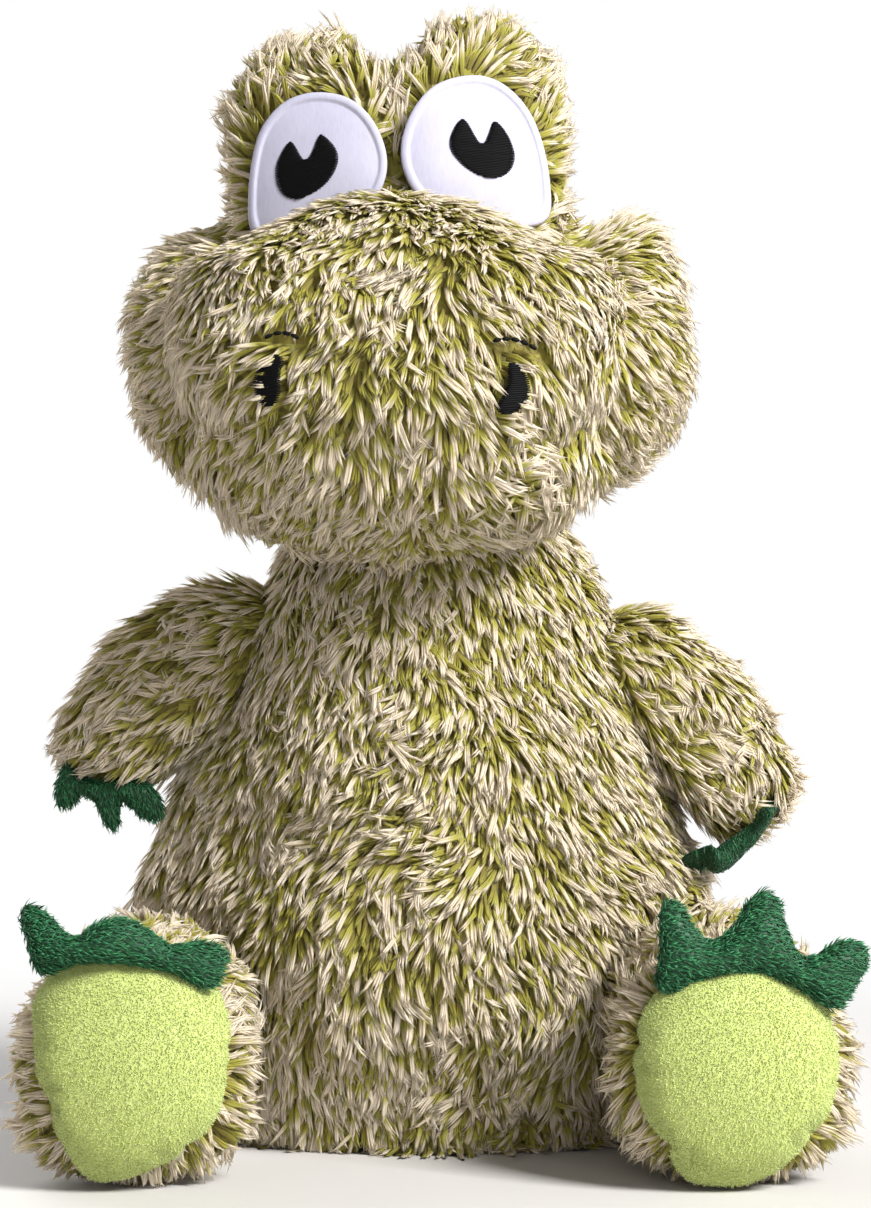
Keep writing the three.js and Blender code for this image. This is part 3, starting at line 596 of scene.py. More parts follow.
def softMoves(body, points):
    x, y, z = points.T.copy()
    if body == "head":
        softHead(x, y, z)
    elif body == "torso":
        softTorso(x, y, z)
    elif body == "left_arm":
        z -= shoulderDrop["by"] * ease(z, *shoulderDrop["from"])
    elif body.endswith("leg"):
        x += (x - (x.min() + x.max()) / 2) * footSpread["by"] * fade(z, *footSpread["end"])
    return np.stack([x, y, z], 1)


def sewnSkin(body):
    clouds = [[v.co for v in nodes[cover].data.vertices] for cover in covers[body]]
    if body == "head":
        muzzleAndJaw = clouds[1] + clouds[2]
        clouds.append([spot for spot in muzzleAndJaw if spot.z < skinLook["lip"] * mm])
    rounds = skinLook["headSmoothing" if body == "head" else "smoothing"]
    points, faces = shaped(joinedHulls(clouds), [
        ("REMESH", {"mode": "VOXEL", "voxel_size": skinLook["voxel"] * mm}),
        ("SMOOTH", {"factor": 0.5, "iterations": rounds})])
    faces = quadsOf(faces)
    form = softMoves(body, points / mm)
    swell = drift(form, skinLook["lumpSize"], skinLook["seed"] + len(body))[:, :1] * skinLook["lumps"]
    skin = form + vertexNormals(form, faces) * (swell - skinLook["inset"])
    skin[:, 2] = np.maximum(skin[:, 2], skinLook["floor"])
    return skin, faces, treeOf(form, [faces])


skins, formTrees = {}, {}
for body in covers:
    *skins[body], formTrees[body] = sewnSkin(body)
    print("skin of", body, len(skins[body][1]), "faces")


# stuffed pouches, sewn flat and blown up: two sheets joined round the outline, swelled by cloth pressure
sewing = {
    "grown": 10,  # simulated ten times as large, where the solver is steady
    "quality": 6, "mass": 0.1, "shear": 0.5, "bending": 0.4, "tensionDamping": 15, "airDamping": 4,
    "openEdge": 1.2, "openSlope": 0.5,  # mm from the seam over which the sheets part before they swell
    "quickSwell": 0.35,
}


def evenLoop(outline, look):
    loop = np.array(outline, float)
    for _ in range(look["rounding"]):  # corner cutting
        after = np.roll(loop, -1, 0)
        loop = np.stack([loop * 0.75 + after * 0.25, loop * 0.25 + after * 0.75], 1).reshape(-1, 2)
    lengths = np.linalg.norm(np.roll(loop, -1, 0) - loop, axis=1)
    marks = np.concatenate([[0], np.cumsum(lengths)])
    wanted = np.linspace(0, marks[-1], max(12, int(marks[-1] / look["step"])), endpoint=False)
    closed = np.vstack([loop, loop[:1]])
    return np.stack([np.interp(wanted, marks, closed[:, i]) for i in (0, 1)], 1)


def inLoop(spots, loop):
    hits = np.zeros(len(spots), bool)
    for (x0, z0), (x1, z1) in zip(loop, np.roll(loop, -1, 0)):
        spans = (z0 > spots[:, 1]) != (z1 > spots[:, 1])
        if z1 != z0:
            hits ^= spans & (spots[:, 0] < (x1 - x0) * (spots[:, 1] - z0) / (z1 - z0) + x0)
    return hits


def fromLoop(spots, loop):
    nearest = np.full(len(spots), 1e9)
    for start, end in zip(loop, np.roll(loop, -1, 0)):
        edge = end - start
        share = np.clip(((spots - start) @ edge) / max(edge @ edge, 1e-12), 0, 1)
        nearest = np.minimum(nearest, np.linalg.norm(spots - start - share[:, None] * edge, axis=1))
    return nearest


def flatPouch(loop, step):
    rowShare, clearShare = 0.87, 0.55  # rows of near-equal triangles, kept off the seam
    low, high = loop.min(0), loop.max(0)
    across, up = np.meshgrid(np.arange(low[0], high[0], step), np.arange(low[1], high[1], step * rowShare))
    across = across + (np.arange(len(up))[:, None] % 2) * step / 2
    inner = np.stack([across.ravel(), up.ravel()], 1)
    inner = inner[inLoop(inner, loop)]
    inner = inner[fromLoop(inner, loop) > step * clearShare]
    count = len(loop)
    seam = [(i, (i + 1) % count) for i in range(count)]
    made = delaunay_2d_cdt([Vector(p) for p in np.vstack([loop, inner])], seam, [], 1, 1e-5)
    flat = np.array([list(p) for p in made[0]])
    sheet = np.array([list(f) for f in made[2] if len(f) == 3])
    edge = fromLoop(flat, loop)
    lift = np.minimum(edge, sewing["openEdge"]) * sewing["openSlope"]
    front = np.stack([flat[:, 0], -lift, flat[:, 1]], 1)
    inside = np.where(edge >= 1e-4)[0]
    mirror = np.arange(len(flat))
    mirror[inside] = len(flat) + np.arange(len(inside))
    back = front[inside] * np.array([1, -1, 1])
    a, b, c = (front[sheet[:, i]] for i in range(3))
    turned = np.cross(b - a, c - a)[:, 1] > 0  # the front sheet faces -Y
    sheet[turned] = sheet[turned][:, ::-1]
    return np.vstack([front, back]), np.vstack([sheet, mirror[sheet][:, ::-1]])


def blowUp(points, faces, look):
    grown = sewing["grown"] * mm
    draft = place("pouch", plainMesh(points * grown, faces))
    cloth = draft.modifiers.new("swell", "CLOTH")
    settings = cloth.settings
    settings.quality = sewing["quality"]
    settings.mass = sewing["mass"]
    settings.use_pressure = True
    settings.uniform_pressure_force = look["pressure"]
    settings.tension_stiffness = settings.compression_stiffness = look["stiffness"]
    settings.shear_stiffness = look["stiffness"] * sewing["shear"]
    settings.bending_stiffness = sewing["bending"]
    settings.tension_damping = sewing["tensionDamping"]
    settings.air_damping = sewing["airDamping"]
    settings.effector_weights.gravity = 0
    cloth.point_cache.frame_start = 1
    cloth.point_cache.frame_end = look["frames"]
    for step in range(1, look["frames"] + 1):
        scene.frame_set(step)
    moved = takeShape(draft)[0] / grown - points
    scene.frame_set(1)
    far = np.linalg.norm(moved, axis=1, keepdims=True)
    return points + moved * np.minimum(1, look["cap"] / np.maximum(far, 1e-9))


def stuffedPouch(outline, look):
    loop = evenLoop(outline, look)
    points, faces = flatPouch(loop, look["step"])
    points = blowUp(points, faces, look)
    for axis, wanted in ((0, loop[:, 0]), (2, loop[:, 1])):  # swelling drew the edge in, so it is let out
        got = points[:, axis]
        wide = np.ptp(wanted) / np.ptp(got)
        points[:, axis] = (got - (got.min() + got.max()) / 2) * wide + (wanted.min() + wanted.max()) / 2
    points, faces = shaped(plainMesh(points, faces), [("SUBSURF", {"levels": 1})])
    return points, np.array(faces)


# short pile on the pouches: one shape of fibre for all of them, and one way of lying for each cloth
napFibre = {"stations": [0.0, 0.5], "profile": [1.0, 0.85], "flatness": 0.8, "floor": 0.2, "sunk": 0.1,
            "bend": 0.25}
napRidgeShade = {"waver": 14, "waverBy": 0.9, "contrast": 0.42, "noise": 0.14}  # painted light and shade in combed lines along the flow
fleeceNap = {"spacing": 0.51, "length": (0.55, 1.1), "halfWidth": (0.12, 0.2), "lift": (35, 85),
             "fall": (0, 60), "stray": 1.6, "backing": 0.35, "ridge": None}
minkyNap = {"spacing": 0.74, "length": (1.8, 3.2), "halfWidth": (0.18, 0.3), "lift": (16, 40),
            "fall": (-6, 18), "stray": 0.35, "backing": 0.12, "ridge": 1.9}


def napped(name, points, faces, look, material, seed):  # the pile is in the same mesh as its cloth
    nap = look["nap"]
    dice = np.random.default_rng(seed)
    roots, facing, _ = scatter(points, faces, nap["spacing"], dice)
    count = len(roots)
    flow = np.array(look["combed"]) + dice.normal(size=(count, 3)) * nap["stray"]
    length = dice.uniform(*nap["length"], count)
    lift, fall = (np.radians(dice.uniform(*nap[key], count)) for key in ("lift", "fall"))
    bend = dice.normal(0, napFibre["bend"], count)
    path = lockPath(roots - facing * napFibre["sunk"], facing, flow, length, lift, fall, bend)
    shade = dice.random(count)
    # painted light and shade: each lock's colour goes lighter and darker in bands along z, for light
    # catching the combed ridges
    if nap["ridge"]:
        waver = drift(roots, napRidgeShade["waver"], seed)[:, 0] * napRidgeShade["waverBy"]
        wave = np.sin((roots[:, 2] + waver) * 2 * math.pi / nap["ridge"])
        speckle = dice.normal(0, napRidgeShade["noise"], count)
        shade = np.clip(0.5 + napRidgeShade["contrast"] * wave + speckle, 0, 0.999)
    locks = growLocks(path, dice.uniform(*nap["halfWidth"], count), napFibre, shade)
    cloth = (points, [faces], [backingChart(faces, dice, nap["backing"])])
    return writeMesh(name, *together([cloth, locks]), material)


# what a body's locks part around: a tree, the gap in mm, and whether some locks may cross it
keepClear = {body: [] for body in covers}


def seatPouch(side, look, points, faces):
    node, body, slot = side + look["node"], side + look["body"], look["cloth"]
    piece = napped(node + "_" + slot, points, faces, look, finish[slot], look["seed"] + sides[side])
    settle(piece, body, node)
    keepClear[body].append((treeOf(points, [faces]), look["gap"], False))
    print(piece.name, len(piece.data.polygons), "faces")


def smoothFront(node, centre, reach, order=2):
    # a smooth sheet y(x, z) through the front of a CAD node, so that what lies on it shows no facets
    rays, before = 15, -400
    tree = nodeTree(node)
    spots, depths = [], []
    for x in np.linspace(centre[0] - reach[0], centre[0] + reach[0], rays):
        for z in np.linspace(centre[1] - reach[1], centre[1] + reach[1], rays):
            hit = tree.ray_cast(Vector((x, before, z)), Vector((0, 1, 0)))[0]
            if hit is not None:
                spots.append((x, z))
                depths.append(hit[1])

    def terms(at):
        x, z = ((np.asarray(at, float) - np.array(centre)) / np.array(reach)).T
        return np.stack([x ** i * z ** j for i in range(order + 1) for j in range(order + 1 - i)], 1)

    fit = np.linalg.lstsq(terms(spots), np.array(depths), rcond=None)[0]

    def sheet(at):
        return terms(at) @ fit

    return sheet


# soles: lime fleece, egg shaped, domed over the end of each foot
pad = {
    "outline": {  # photograph pixels round the sole
        "right": [(38, 1000), (62, 968), (100, 953), (150, 958), (196, 980), (222, 1010),
                  (229, 1060), (220, 1110), (196, 1145), (160, 1172), (110, 1184), (85, 1177),
                  (55, 1140), (36, 1090), (31, 1045)],
        "left": [(664, 992), (700, 972), (745, 962), (785, 971), (815, 990), (833, 1020),
                 (842, 1065), (832, 1115), (800, 1160), (755, 1186), (700, 1186), (675, 1165),
                 (648, 1125), (634, 1080), (640, 1030)],
    },
    "depth": -104.0,  # where the pixels are read, mm
    "ease": 1.05,  # cut larger than the sole, because stuffing draws the seam in
    "bulge": 0.6, "sunk": 0.8,
    "edge": 0.85, "edgeBack": 3.0,  # share of the sole beyond which it curves back
    "front": 0.8,  # share of the sole that its smooth front is fitted to
    "step": 3.0, "rounding": 2,
    "pressure": 60, "stiffness": 12, "frames": 18, "cap": 6.0,
    "node": "_foot_pad", "body": "_leg", "cloth": "fleece", "nap": fleeceNap, "combed": (0.0, 0.0, 0.0),
    "fill": 0.8, "gap": 1.0, "seed": 11,
}
padMiddle = {}
for side in sides:
    low, high = nodeBox(side + "_foot_pad")
    centre, halfSize = (low + high)[[0, 2]] / 2, (high - low)[[0, 2]] / 2
    front = smoothFront(side + "_foot_pad", centre, halfSize * pad["front"])
    outline = traced(pad["outline"][side], pad["depth"])
    outline = outline.mean(0) + (outline - outline.mean(0)) * pad["ease"]
    points, faces = stuffedPouch(outline, pad)
    flat = points[:, [0, 2]]
    over = np.maximum(np.linalg.norm((flat - centre) / halfSize, axis=1) - pad["edge"], 0)
    points[:, 1] = front(flat) + points[:, 1] * pad["bulge"] + pad["sunk"] + over * pad["edgeBack"]
    seatPouch(side, pad, points, faces)
    padMiddle[side] = np.array([centre[0], front([centre])[0], centre[1]])


# claws: bottle green minky pouches of three points, sewn behind the soles and under the hands
footClaws = {
    "outline": {
        "right": [(40, 980), (26, 946), (15, 920), (18, 903), (32, 902), (50, 910), (66, 920),
                  (80, 925), (96, 912), (116, 906), (136, 910), (154, 922), (172, 936), (190, 935),
                  (212, 938), (227, 950), (225, 966), (214, 992), (198, 990), (178, 980),
                  (152, 972), (120, 965), (88, 964), (62, 972)],
        "left": [(661, 996), (656, 955), (652, 915), (662, 903), (676, 907), (703, 931),
                 (716, 931), (735, 915), (748, 896), (762, 888), (780, 895), (792, 925),
                 (804, 946), (816, 950), (838, 943), (860, 947), (871, 958), (866, 976),
                 (850, 996), (828, 1015), (806, 1000), (783, 984), (757, 977), (730, 979),
                 (703, 985), (681, 996)],
    },
    "depth": -104.0,
    "back": 1.5, "lean": 3.0,  # mm behind the CAD crown, and further back at the tips
    "folded": {"right": {"x": -79.5, "halfWidth": 13, "by": 6.5}},  # this claw hangs over the sole
    "step": 2.2, "rounding": 1,
    "pressure": 90, "stiffness": 12, "frames": 18, "cap": 5.0,
    "node": "_foot_claws", "body": "_leg", "cloth": "minky", "nap": minkyNap, "combed": (1.0, 0.0, -0.1),
    "fill": 0.7, "gap": 0.6, "seed": 21,
}
for side in sides:
    low, high = nodeBox(side + "_foot_claws")
    points, faces = stuffedPouch(traced(footClaws["outline"][side], footClaws["depth"]), footClaws)
    rise = np.clip((points[:, 2] - low[2]) / (high[2] - low[2]), 0, 1)
    points[:, 1] += (low[1] + high[1]) / 2 + footClaws["back"] + rise * footClaws["lean"]
    if side in footClaws["folded"]:
        fold = footClaws["folded"][side]
        points[:, 1] -= np.exp(-((points[:, 0] - fold["x"]) / fold["halfWidth"]) ** 2) * rise * fold["by"]
    seatPouch(side, footClaws, points, faces)

handClaws = {
    "outline": [(67, 757), (57, 778), (52, 796), (60, 807), (73, 804), (82, 797), (94, 809),
                (99, 824), (108, 834), (117, 826), (121, 810), (125, 805), (134, 811), (147, 815),
                (160, 815), (167, 805), (161, 792), (148, 780), (128, 774), (106, 776), (88, 776),
                (78, 766)],
    "depth": -10.6,
    "left": {  # how the left hand's band runs: share of its length, pixels, degrees its claws point back
        "share": (0.0, 0.33, 0.45, 0.72, 1.0),
        "u": (674, 711, 719, 751, 778),
        "v": (848, 845, 862, 836, 800),
        "back": (48, 52, 84, 88, 88),
        "depth": -19.0, "seam": 6.0, "past": 20.0, "slopeStep": 0.04,
    },
    "step": 1.8, "rounding": 1,
    "pressure": 90, "stiffness": 12, "frames": 18, "cap": 4.0,
    "node": "_hand_claws", "body": "_arm", "cloth": "minky", "nap": minkyNap, "combed": (0.2, 0.0, -1.0),
    "fill": 0.7, "gap": 0.6, "seed": 31,
}


def bandAt(share):  # the left hand's band, in mm
    band = handClaws["left"]
    within = np.clip(share, 0, 1)
    u, v = (np.interp(within, band["share"], band[key]) for key in "uv")
    x, z = atPixel(u, v, band["depth"])
    return np.stack([x - (within - share) * band["past"], np.full(len(share), band["depth"]), z], 1)


def ontoLeftHand(points):  # the same band, mirrored, along the hand's lower edge with its claws back
    band = handClaws["left"]
    low, high = points.min(0), points.max(0)
    share = 1 - (points[:, 0] - low[0]) / (high[0] - low[0])
    run = unit(bandAt(share + band["slopeStep"]) - bandAt(share - band["slopeStep"]))
    hang = np.stack([run[:, 2], run[:, 1] * 0, -run[:, 0]], 1)
    back = np.radians(np.interp(share, band["share"], band["back"]))[:, None]
    down = points[:, 2:3] - (low[2] + high[2]) / 2 - band["seam"]
    out = points[:, 1:2] - handClaws["depth"]
    away = np.array([[0, 1.0, 0]])
    return (bandAt(share) - hang * (down * np.cos(back) - out * np.sin(back))
            + away * (-down * np.sin(back) + out * np.cos(back)))


lensHeight = np.array([0, 0, shot["height"]])
for side in sides:
    points, faces = stuffedPouch(traced(handClaws["outline"], 0), handClaws)
    scale = (shot["distance"] + handClaws["depth"]) / shot["distance"]
    points = (points - lensHeight) * scale + lensHeight + np.array([0, handClaws["depth"], 0])
    if side == "left":
        points, faces = ontoLeftHand(points), faces[:, ::-1]
    seatPouch(side, handClaws, points, faces)


# eyes: padded white satin with a rolled, stitched edge
eye = {
    "outline": {  # photograph pixels round each eye
        "right": [(319, 90), (343, 94), (362, 106), (376, 124), (385, 145), (388, 165), (383, 186),
                  (370, 206), (345, 224), (310, 236), (275, 242), (254, 239), (246, 220),
                  (246, 195), (248, 166), (256, 130), (269, 111), (284, 98), (300, 92)],
        "left": [(474, 73), (491, 75), (509, 84), (529, 104), (542, 132), (549, 160), (552, 185),
                 (553, 207), (545, 220), (515, 226), (475, 222), (438, 210), (416, 195),
                 (405, 176), (400, 156), (402, 134), (412, 109), (430, 87), (451, 77)],
    },
    "depth": -28.0,
    "step": 0.8, "rounding": 2,
    "rings": [0.16, 0.32, 0.48, 0.62, 0.74, 0.82, 0.86, 0.885, 0.905, 0.925, 0.945, 0.965, 0.985, 1.0],
    "segments": 96,
    "front": (17.0, 17.0),  # mm of the mound that the front is fitted to
    "flat": 0.72,  # between the mound's own round and a flat disc
    "wadding": 0.7, "waddingEdge": 0.87,  # how far the middle stands over the edge seam
    "rim": 0.5, "rimAt": 0.945, "rimHalf": 0.058,
    "proud": 0.9,
    "tuck": 4.0,  # how far the edge is turned in
    "fill": 0.7, "gap": 0.4,
}
eyeShape = {}
for side in sides:
    loop = evenLoop(traced(eye["outline"][side], eye["depth"]), eye)
    centre = (loop.min(0) + loop.max(0)) / 2
    turn = np.arctan2(loop[:, 1] - centre[1], loop[:, 0] - centre[0])
    order = np.argsort(turn)
    reach = np.linalg.norm(loop - centre, axis=1)
    eyeShape[side] = {"centre": centre, "turn": turn[order], "reach": reach[order]}


def eyeReach(side, angle):
    return np.interp(angle, eyeShape[side]["turn"], eyeShape[side]["reach"], period=2 * math.pi)


def eyeShare(side, at):  # 0 in the middle of an eye, 1 at its edge
    apart = np.asarray(at, float) - eyeShape[side]["centre"]
    return np.linalg.norm(apart, axis=1) / eyeReach(side, np.arctan2(apart[:, 1], apart[:, 0]))


def rimHeight(share):
    dome = eye["wadding"] * (1 - (np.minimum(share, eye["waddingEdge"]) / eye["waddingEdge"]) ** 2)
    return dome + eye["rim"] * np.sqrt(np.maximum(0, 1 - ((share - eye["rimAt"]) / eye["rimHalf"]) ** 2))


def eyeFrontOf(side):
    mound, centre = side + "_eye_mound_cover", eyeShape[side]["centre"]
    flatDisc, ownRound = (smoothFront(mound, centre, eye["front"], order) for order in (1, 4))

    def front(at):
        at = np.asarray(at, float)
        return flatDisc(at) * eye["flat"] + ownRound(at) * (1 - eye["flat"]) + eyeTurn(at[:, 0])

    return front


def ringsToFaces(ringCount, count):  # over rings of points, with one point before and one after them
    i = np.arange(count)
    j = (i + 1) % count
    last = 1 + (ringCount - 1) * count
    fans = np.vstack([np.stack([i * 0, 1 + i, 1 + j], 1),
                      np.stack([np.full(count, last + count), last + j, last + i], 1)])
    starts = [1 + k * count for k in range(ringCount - 1)]
    bands = np.vstack([np.stack([s + i, s + count + i, s + count + j, s + j], 1) for s in starts])
    return fans, bands


eyeFront = {}
for side in sides:
    eyeFront[side] = eyeFrontOf(side)
    centre = eyeShape[side]["centre"]
    turn = np.linspace(0, 2 * math.pi, eye["segments"], endpoint=False)
    spokes = np.stack([np.cos(turn), np.sin(turn)], 1) * eyeReach(side, turn)[:, None]
    rings = []
    for share in eye["rings"]:
        at = centre + spokes * share
        depth = eyeFront[side](at) - eye["proud"] - rimHeight(share)
        rings.append(np.stack([at[:, 0], depth, at[:, 1]], 1))
    rings.append(rings[-1] + np.array([0, eye["tuck"], 0]))
    top = [[centre[0], eyeFront[side]([centre])[0] - eye["proud"] - eye["wadding"], centre[1]]]
    back = [[centre[0], rings[-1][:, 1].mean(), centre[1]]]
    points = np.vstack([top] + rings + [back])
    faceSets = ringsToFaces(len(rings), eye["segments"])
    piece = writeMesh(side + "_eye_satin", points, faceSets, None, finish["satin"])
    settle(piece, "head", side + "_eye")
    keepClear["head"].append((treeOf(points, faceSets), eye["gap"], False))
    print("eye", side)


# embroidery: rows of thread laid across an outline, each stitch a cord of its own
embroidery = {"sides": 6, "step": 0.9, "fewest": 5, "fullness": 0.62, "loft": (0.7, 1.1),
              "uneven": (0.92, 1.08), "endAngle": 0.12, "endGain": 2.2, "endLeast": 0.15}


def stitchRows(loop, spacing, angle):
    c, s = math.cos(angle), math.sin(angle)
    turned = loop @ np.array([[c, -s], [s, c]])
    back = np.array([[c, s], [-s, c]])
    rows = []
    for level in np.arange(turned[:, 1].min() + spacing / 2, turned[:, 1].max(), spacing):
        edges = zip(turned, np.roll(turned, -1, 0))
        cuts = sorted(x0 + (level - z0) / (z1 - z0) * (x1 - x0)
                      for (x0, z0), (x1, z1) in edges if (z0 > level) != (z1 > level))
        rows += [(np.array([start, level]) @ back, np.array([end, level]) @ back)
                 for start, end in zip(cuts[::2], cuts[1::2]) if end - start > spacing]
    return rows


def threadTube(path, radius):
    count = embroidery["sides"]
    heading = unit(np.gradient(path, axis=0))
    across = unit(np.cross(heading, np.array([[0, 1.0, 0]])))
    above = np.cross(heading, across)
    turn = np.arange(count) * 2 * math.pi / count
    arch = np.sin(np.linspace(embroidery["endAngle"], math.pi - embroidery["endAngle"], len(path)))
    taper = radius * np.sqrt(np.clip(arch * embroidery["endGain"], embroidery["endLeast"], 1))
    rings = path[:, None] + (across[:, None] * np.cos(turn)[None, :, None]
                             + above[:, None] * np.sin(turn)[None, :, None]) * taper[:, None, None]
    points = np.vstack([path[:1], rings.reshape(-1, 3), path[-1:]])
    return points, [np.roll(f[:, ::-1], 1, 1) for f in ringsToFaces(len(path), count)], []


def sewThreads(name, strokes, front, proud, radius, node, seed):
    dice = np.random.default_rng(seed)
    parts = []
    for start, end in strokes:
        count = max(embroidery["fewest"], int(np.linalg.norm(end - start) / embroidery["step"]))
        share = np.linspace(0, 1, count)[:, None]
        flat = start + (end - start) * share
        loft = np.sin(share[:, 0] * math.pi) ** 0.5 * radius * dice.uniform(*embroidery["loft"])
        path = np.stack([flat[:, 0], front(flat) - proud - loft, flat[:, 1]], 1)
        parts.append(threadTube(path, radius * dice.uniform(*embroidery["uneven"])))
    points, faceSets, _ = together(parts)
    piece = writeMesh(name, points, faceSets, None, finish["thread"])
    settle(piece, "head", node)
    print(name, len(strokes), "stitches")
    return treeOf(points, faceSets)


pupil = {
    "outline": {  # photograph pixels: a rounded heart with a V cut in its top
        "right": [(291, 139), (296, 146), (300, 154), (305, 160), (310, 154), (313, 147),
                  (317, 137), (321, 133), (328, 138), (335, 146), (339, 156), (337, 167),
                  (330, 179), (320, 188), (308, 194), (296, 198), (284, 195), (277, 186),
                  (274, 173), (275, 162), (280, 151), (286, 142)],
        "left": [(463, 118), (468, 122), (472, 129), (477, 138), (482, 144), (486, 139),
                 (489, 131), (493, 119), (499, 121), (507, 130), (513, 142), (516, 154),
                 (513, 166), (505, 174), (494, 177), (480, 175), (468, 169), (457, 160),
                 (450, 150), (449, 140), (453, 129), (458, 121)],
    },
    "tilt": {"right": 11, "left": -3},  # degrees that the rows of thread slope
    "thread": 0.42, "step": 0.4, "rounding": 1,
    "proud": 0.1, "insideRim": 0.86, "seed": 41,
}


def onEye(side):
    def front(at):
        share = np.minimum(eyeShare(side, at), pupil["insideRim"])
        return eyeFront[side](at) - eye["proud"] - rimHeight(share)

    return front


for side in sides:
    loop = evenLoop(traced(pupil["outline"][side], eye["depth"]), pupil)
    strokes = stitchRows(loop, pupil["thread"], math.radians(pupil["tilt"][side]))
    sewThreads(side + "_pupil_embroidery", strokes, onEye(side), pupil["proud"],
               pupil["thread"] * embroidery["fullness"], side + "_pupil", pupil["seed"])

nostril = {
    "outline": {  # photograph pixels: each patch bulges outwards
        "right": [(285, 357), (273, 354), (262, 360), (255, 372), (253, 388), (257, 401),
                  (266, 407), (276, 404), (281, 393), (280, 380), (282, 367)],
        "left": [(507, 362), (518, 364), (527, 374), (531, 388), (528, 402), (517, 412),
                 (503, 415), (495, 410), (500, 400), (507, 388), (508, 374)],
    },
    "fold": {  # and the stitched crease over it; on the toy's right the black stitches also stand for painted shade in the crease
        "right": [(265, 338), (274, 334), (284, 333), (293, 336), (302, 341)],
        "left": [(493, 342), (505, 339), (517, 340), (529, 345), (540, 351)],
    },
    "depth": -98.0,
    "step": 0.4, "rounding": 2,
    "front": (12.0, 13.0),  # mm of the muzzle that the front is fitted to
    "thread": 0.5, "tilt": 0.1,
    "proud": 0.3, "foldProud": 1.4,  # the patch lies sunk in the pile, the crease on it
    "gap": 1.0, "foldGap": 0.6,
    "foldThread": 0.5, "foldStitch": 1.9, "foldSpace": 0.35,
    "seed": 51, "foldSeed": 61,
}
foldLine, nostrilLoop = {}, {}


def onMuzzle(centre):
    plain = smoothFront("muzzle_cover", centre, nostril["front"], 3)

    def front(at):
        return plain(at) - snoutPush(np.asarray(at, float)[:, 1])

    return front


def runningStitches(line, stitch, space):
    marks = np.concatenate([[0], np.cumsum(np.linalg.norm(np.diff(line, axis=0), axis=1))])
    starts = np.arange(0, marks[-1] - stitch, stitch + space)
    return [[np.array([np.interp(m, marks, line[:, i]) for i in (0, 1)]) for m in (start, start + stitch)]
            for start in starts]


for side in sides:
    loop = evenLoop(traced(nostril["outline"][side], nostril["depth"]), nostril)
    line = traced(nostril["fold"][side], nostril["depth"])
    foldLine[side], nostrilLoop[side] = line, loop
    front = onMuzzle(tuple((loop.mean(0) + line.mean(0)) / 2))
    strokes = stitchRows(loop, nostril["thread"], nostril["tilt"])
    tree = sewThreads(side + "_nostril_embroidery", strokes, front, nostril["proud"],
                      nostril["thread"] * embroidery["fullness"], side + "_nostril", nostril["seed"])
    keepClear["head"].append((tree, nostril["gap"], True))
    # on the toy's right these black stitches are partly painted shade: a dark line where the crease only
    # lies in shadow
    strokes = runningStitches(line, nostril["foldStitch"], nostril["foldSpace"])
    tree = sewThreads(side + "_nostril_fold_stitches", strokes, front, nostril["foldProud"],
                      nostril["foldThread"], side + "_nostril_fold", nostril["foldSeed"])
    keepClear["head"].append((tree, nostril["foldGap"], False))


# the long pile itself
pile = {
    "spacing": 1.85,
    "length": {"ends": (9.0, 14.0), "byTuft": 0.32, "byLock": 0.2, "most": 1.1},
    "strandWidth": (0.32, 0.58),  # half widths
    "underWidth": (0.36, 0.64),
    "spread": 0.54,  # between the strands of a lock
    "lift": {"ends": (17, 42), "byTuft": 0.3, "byLock": 0.2, "most": 1.0},
    "fall": {"ends": (-10, 16), "byTuft": 0.3, "byLock": 0.25, "most": 1.0},
    "bend": 0.42,
    "stations": [0.0, 0.36, 0.74], "profile": [0.8, 1.0, 0.68], "flatness": 0.7,
    "weight": 0.3,  # how far the locks hang
    "wander": ((56, 0.42), (21, 0.34)),  # mm of each wave in the combing, and its strength
    "tuft": 4.0, "turnedTuft": 6.0, "tuftTurn": 0.46, "lockTurn": 0.15,
    "under": 0.42, "underLength": 0.74,  # share and length of the unbleached locks between
    "patch": 13.0, "patchShare": 0.22,  # mm, and how far their share wanders from patch to patch
    "underShade": (0, 0.2), "shade": 0.64, "tuftShade": 0.12, "lockShade": 0.13, "strandShade": 0.04,
    "blend": 8.0, "blendStep": 5,  # mm over which neighbouring pouches share their combing
    "ragged": 14.0,  # photograph pixels by which locks stray over the lid line
    "buried": 3.0,  # roots deeper than this in another body are left out
    "fill": 0.75,
    "backing": 0.2,
    "floor": 0.25,
    "mostStrands": 12000,  # in one mesh
    "seed": 100, "seedStep": 7,
}
strand = {"reach": (0.82, 1.02), "stray": 0.4, "root": 0.3, "belly": (0.8, 1.5), "tip": (-0.3, 0.7)}
lidLine = ([246, 300, 350, 390, 425, 480, 545], [222, 206, 195, 184, 184, 195, 207])  # photograph pixels
bridge = np.array([-9.0, -34.0, 250.0])  # the head's pile radiates from between the eyes
moundHub = {"y": -30.0, "below": 4.0, "up": 0.25}
muzzleComb = {
    "axis": (-44.0, 186.0),  # y and z that the muzzle's and jaw's pile is combed round
    "spread": 36.0,
    "hub": (16, 38), "hubFlow": (0.0, 0.4, -1.0),  # no whirl on the flanks
    "browTop": (226, 240), "browBack": (-62, -46), "browFlow": (0, 2.2, 1.2), "browSpread": (1.5, 0, 0),
    "flatTop": (0.35, 0.4), "flatLift": 0.35, "flatFall": 0.1, "flatLength": 0.12,  # its top lies flat
}
nostrilComb = {
    "front": -60.0,  # y before which the nostrils comb the pile
    "fan": 5.5, "fanLay": (20, 4), "fanLength": 0.62,  # over each crease a fan of locks is combed back flat
    "cross": 3.4, "crossLay": (60, -2), "crossDrop": -0.45,  # and locks beside each patch hang across it
}
torsoWidth = 120.0
shoulder = {side: np.array([sign * 30.0, 3.6, 130.0]) for side, sign in sides.items()}
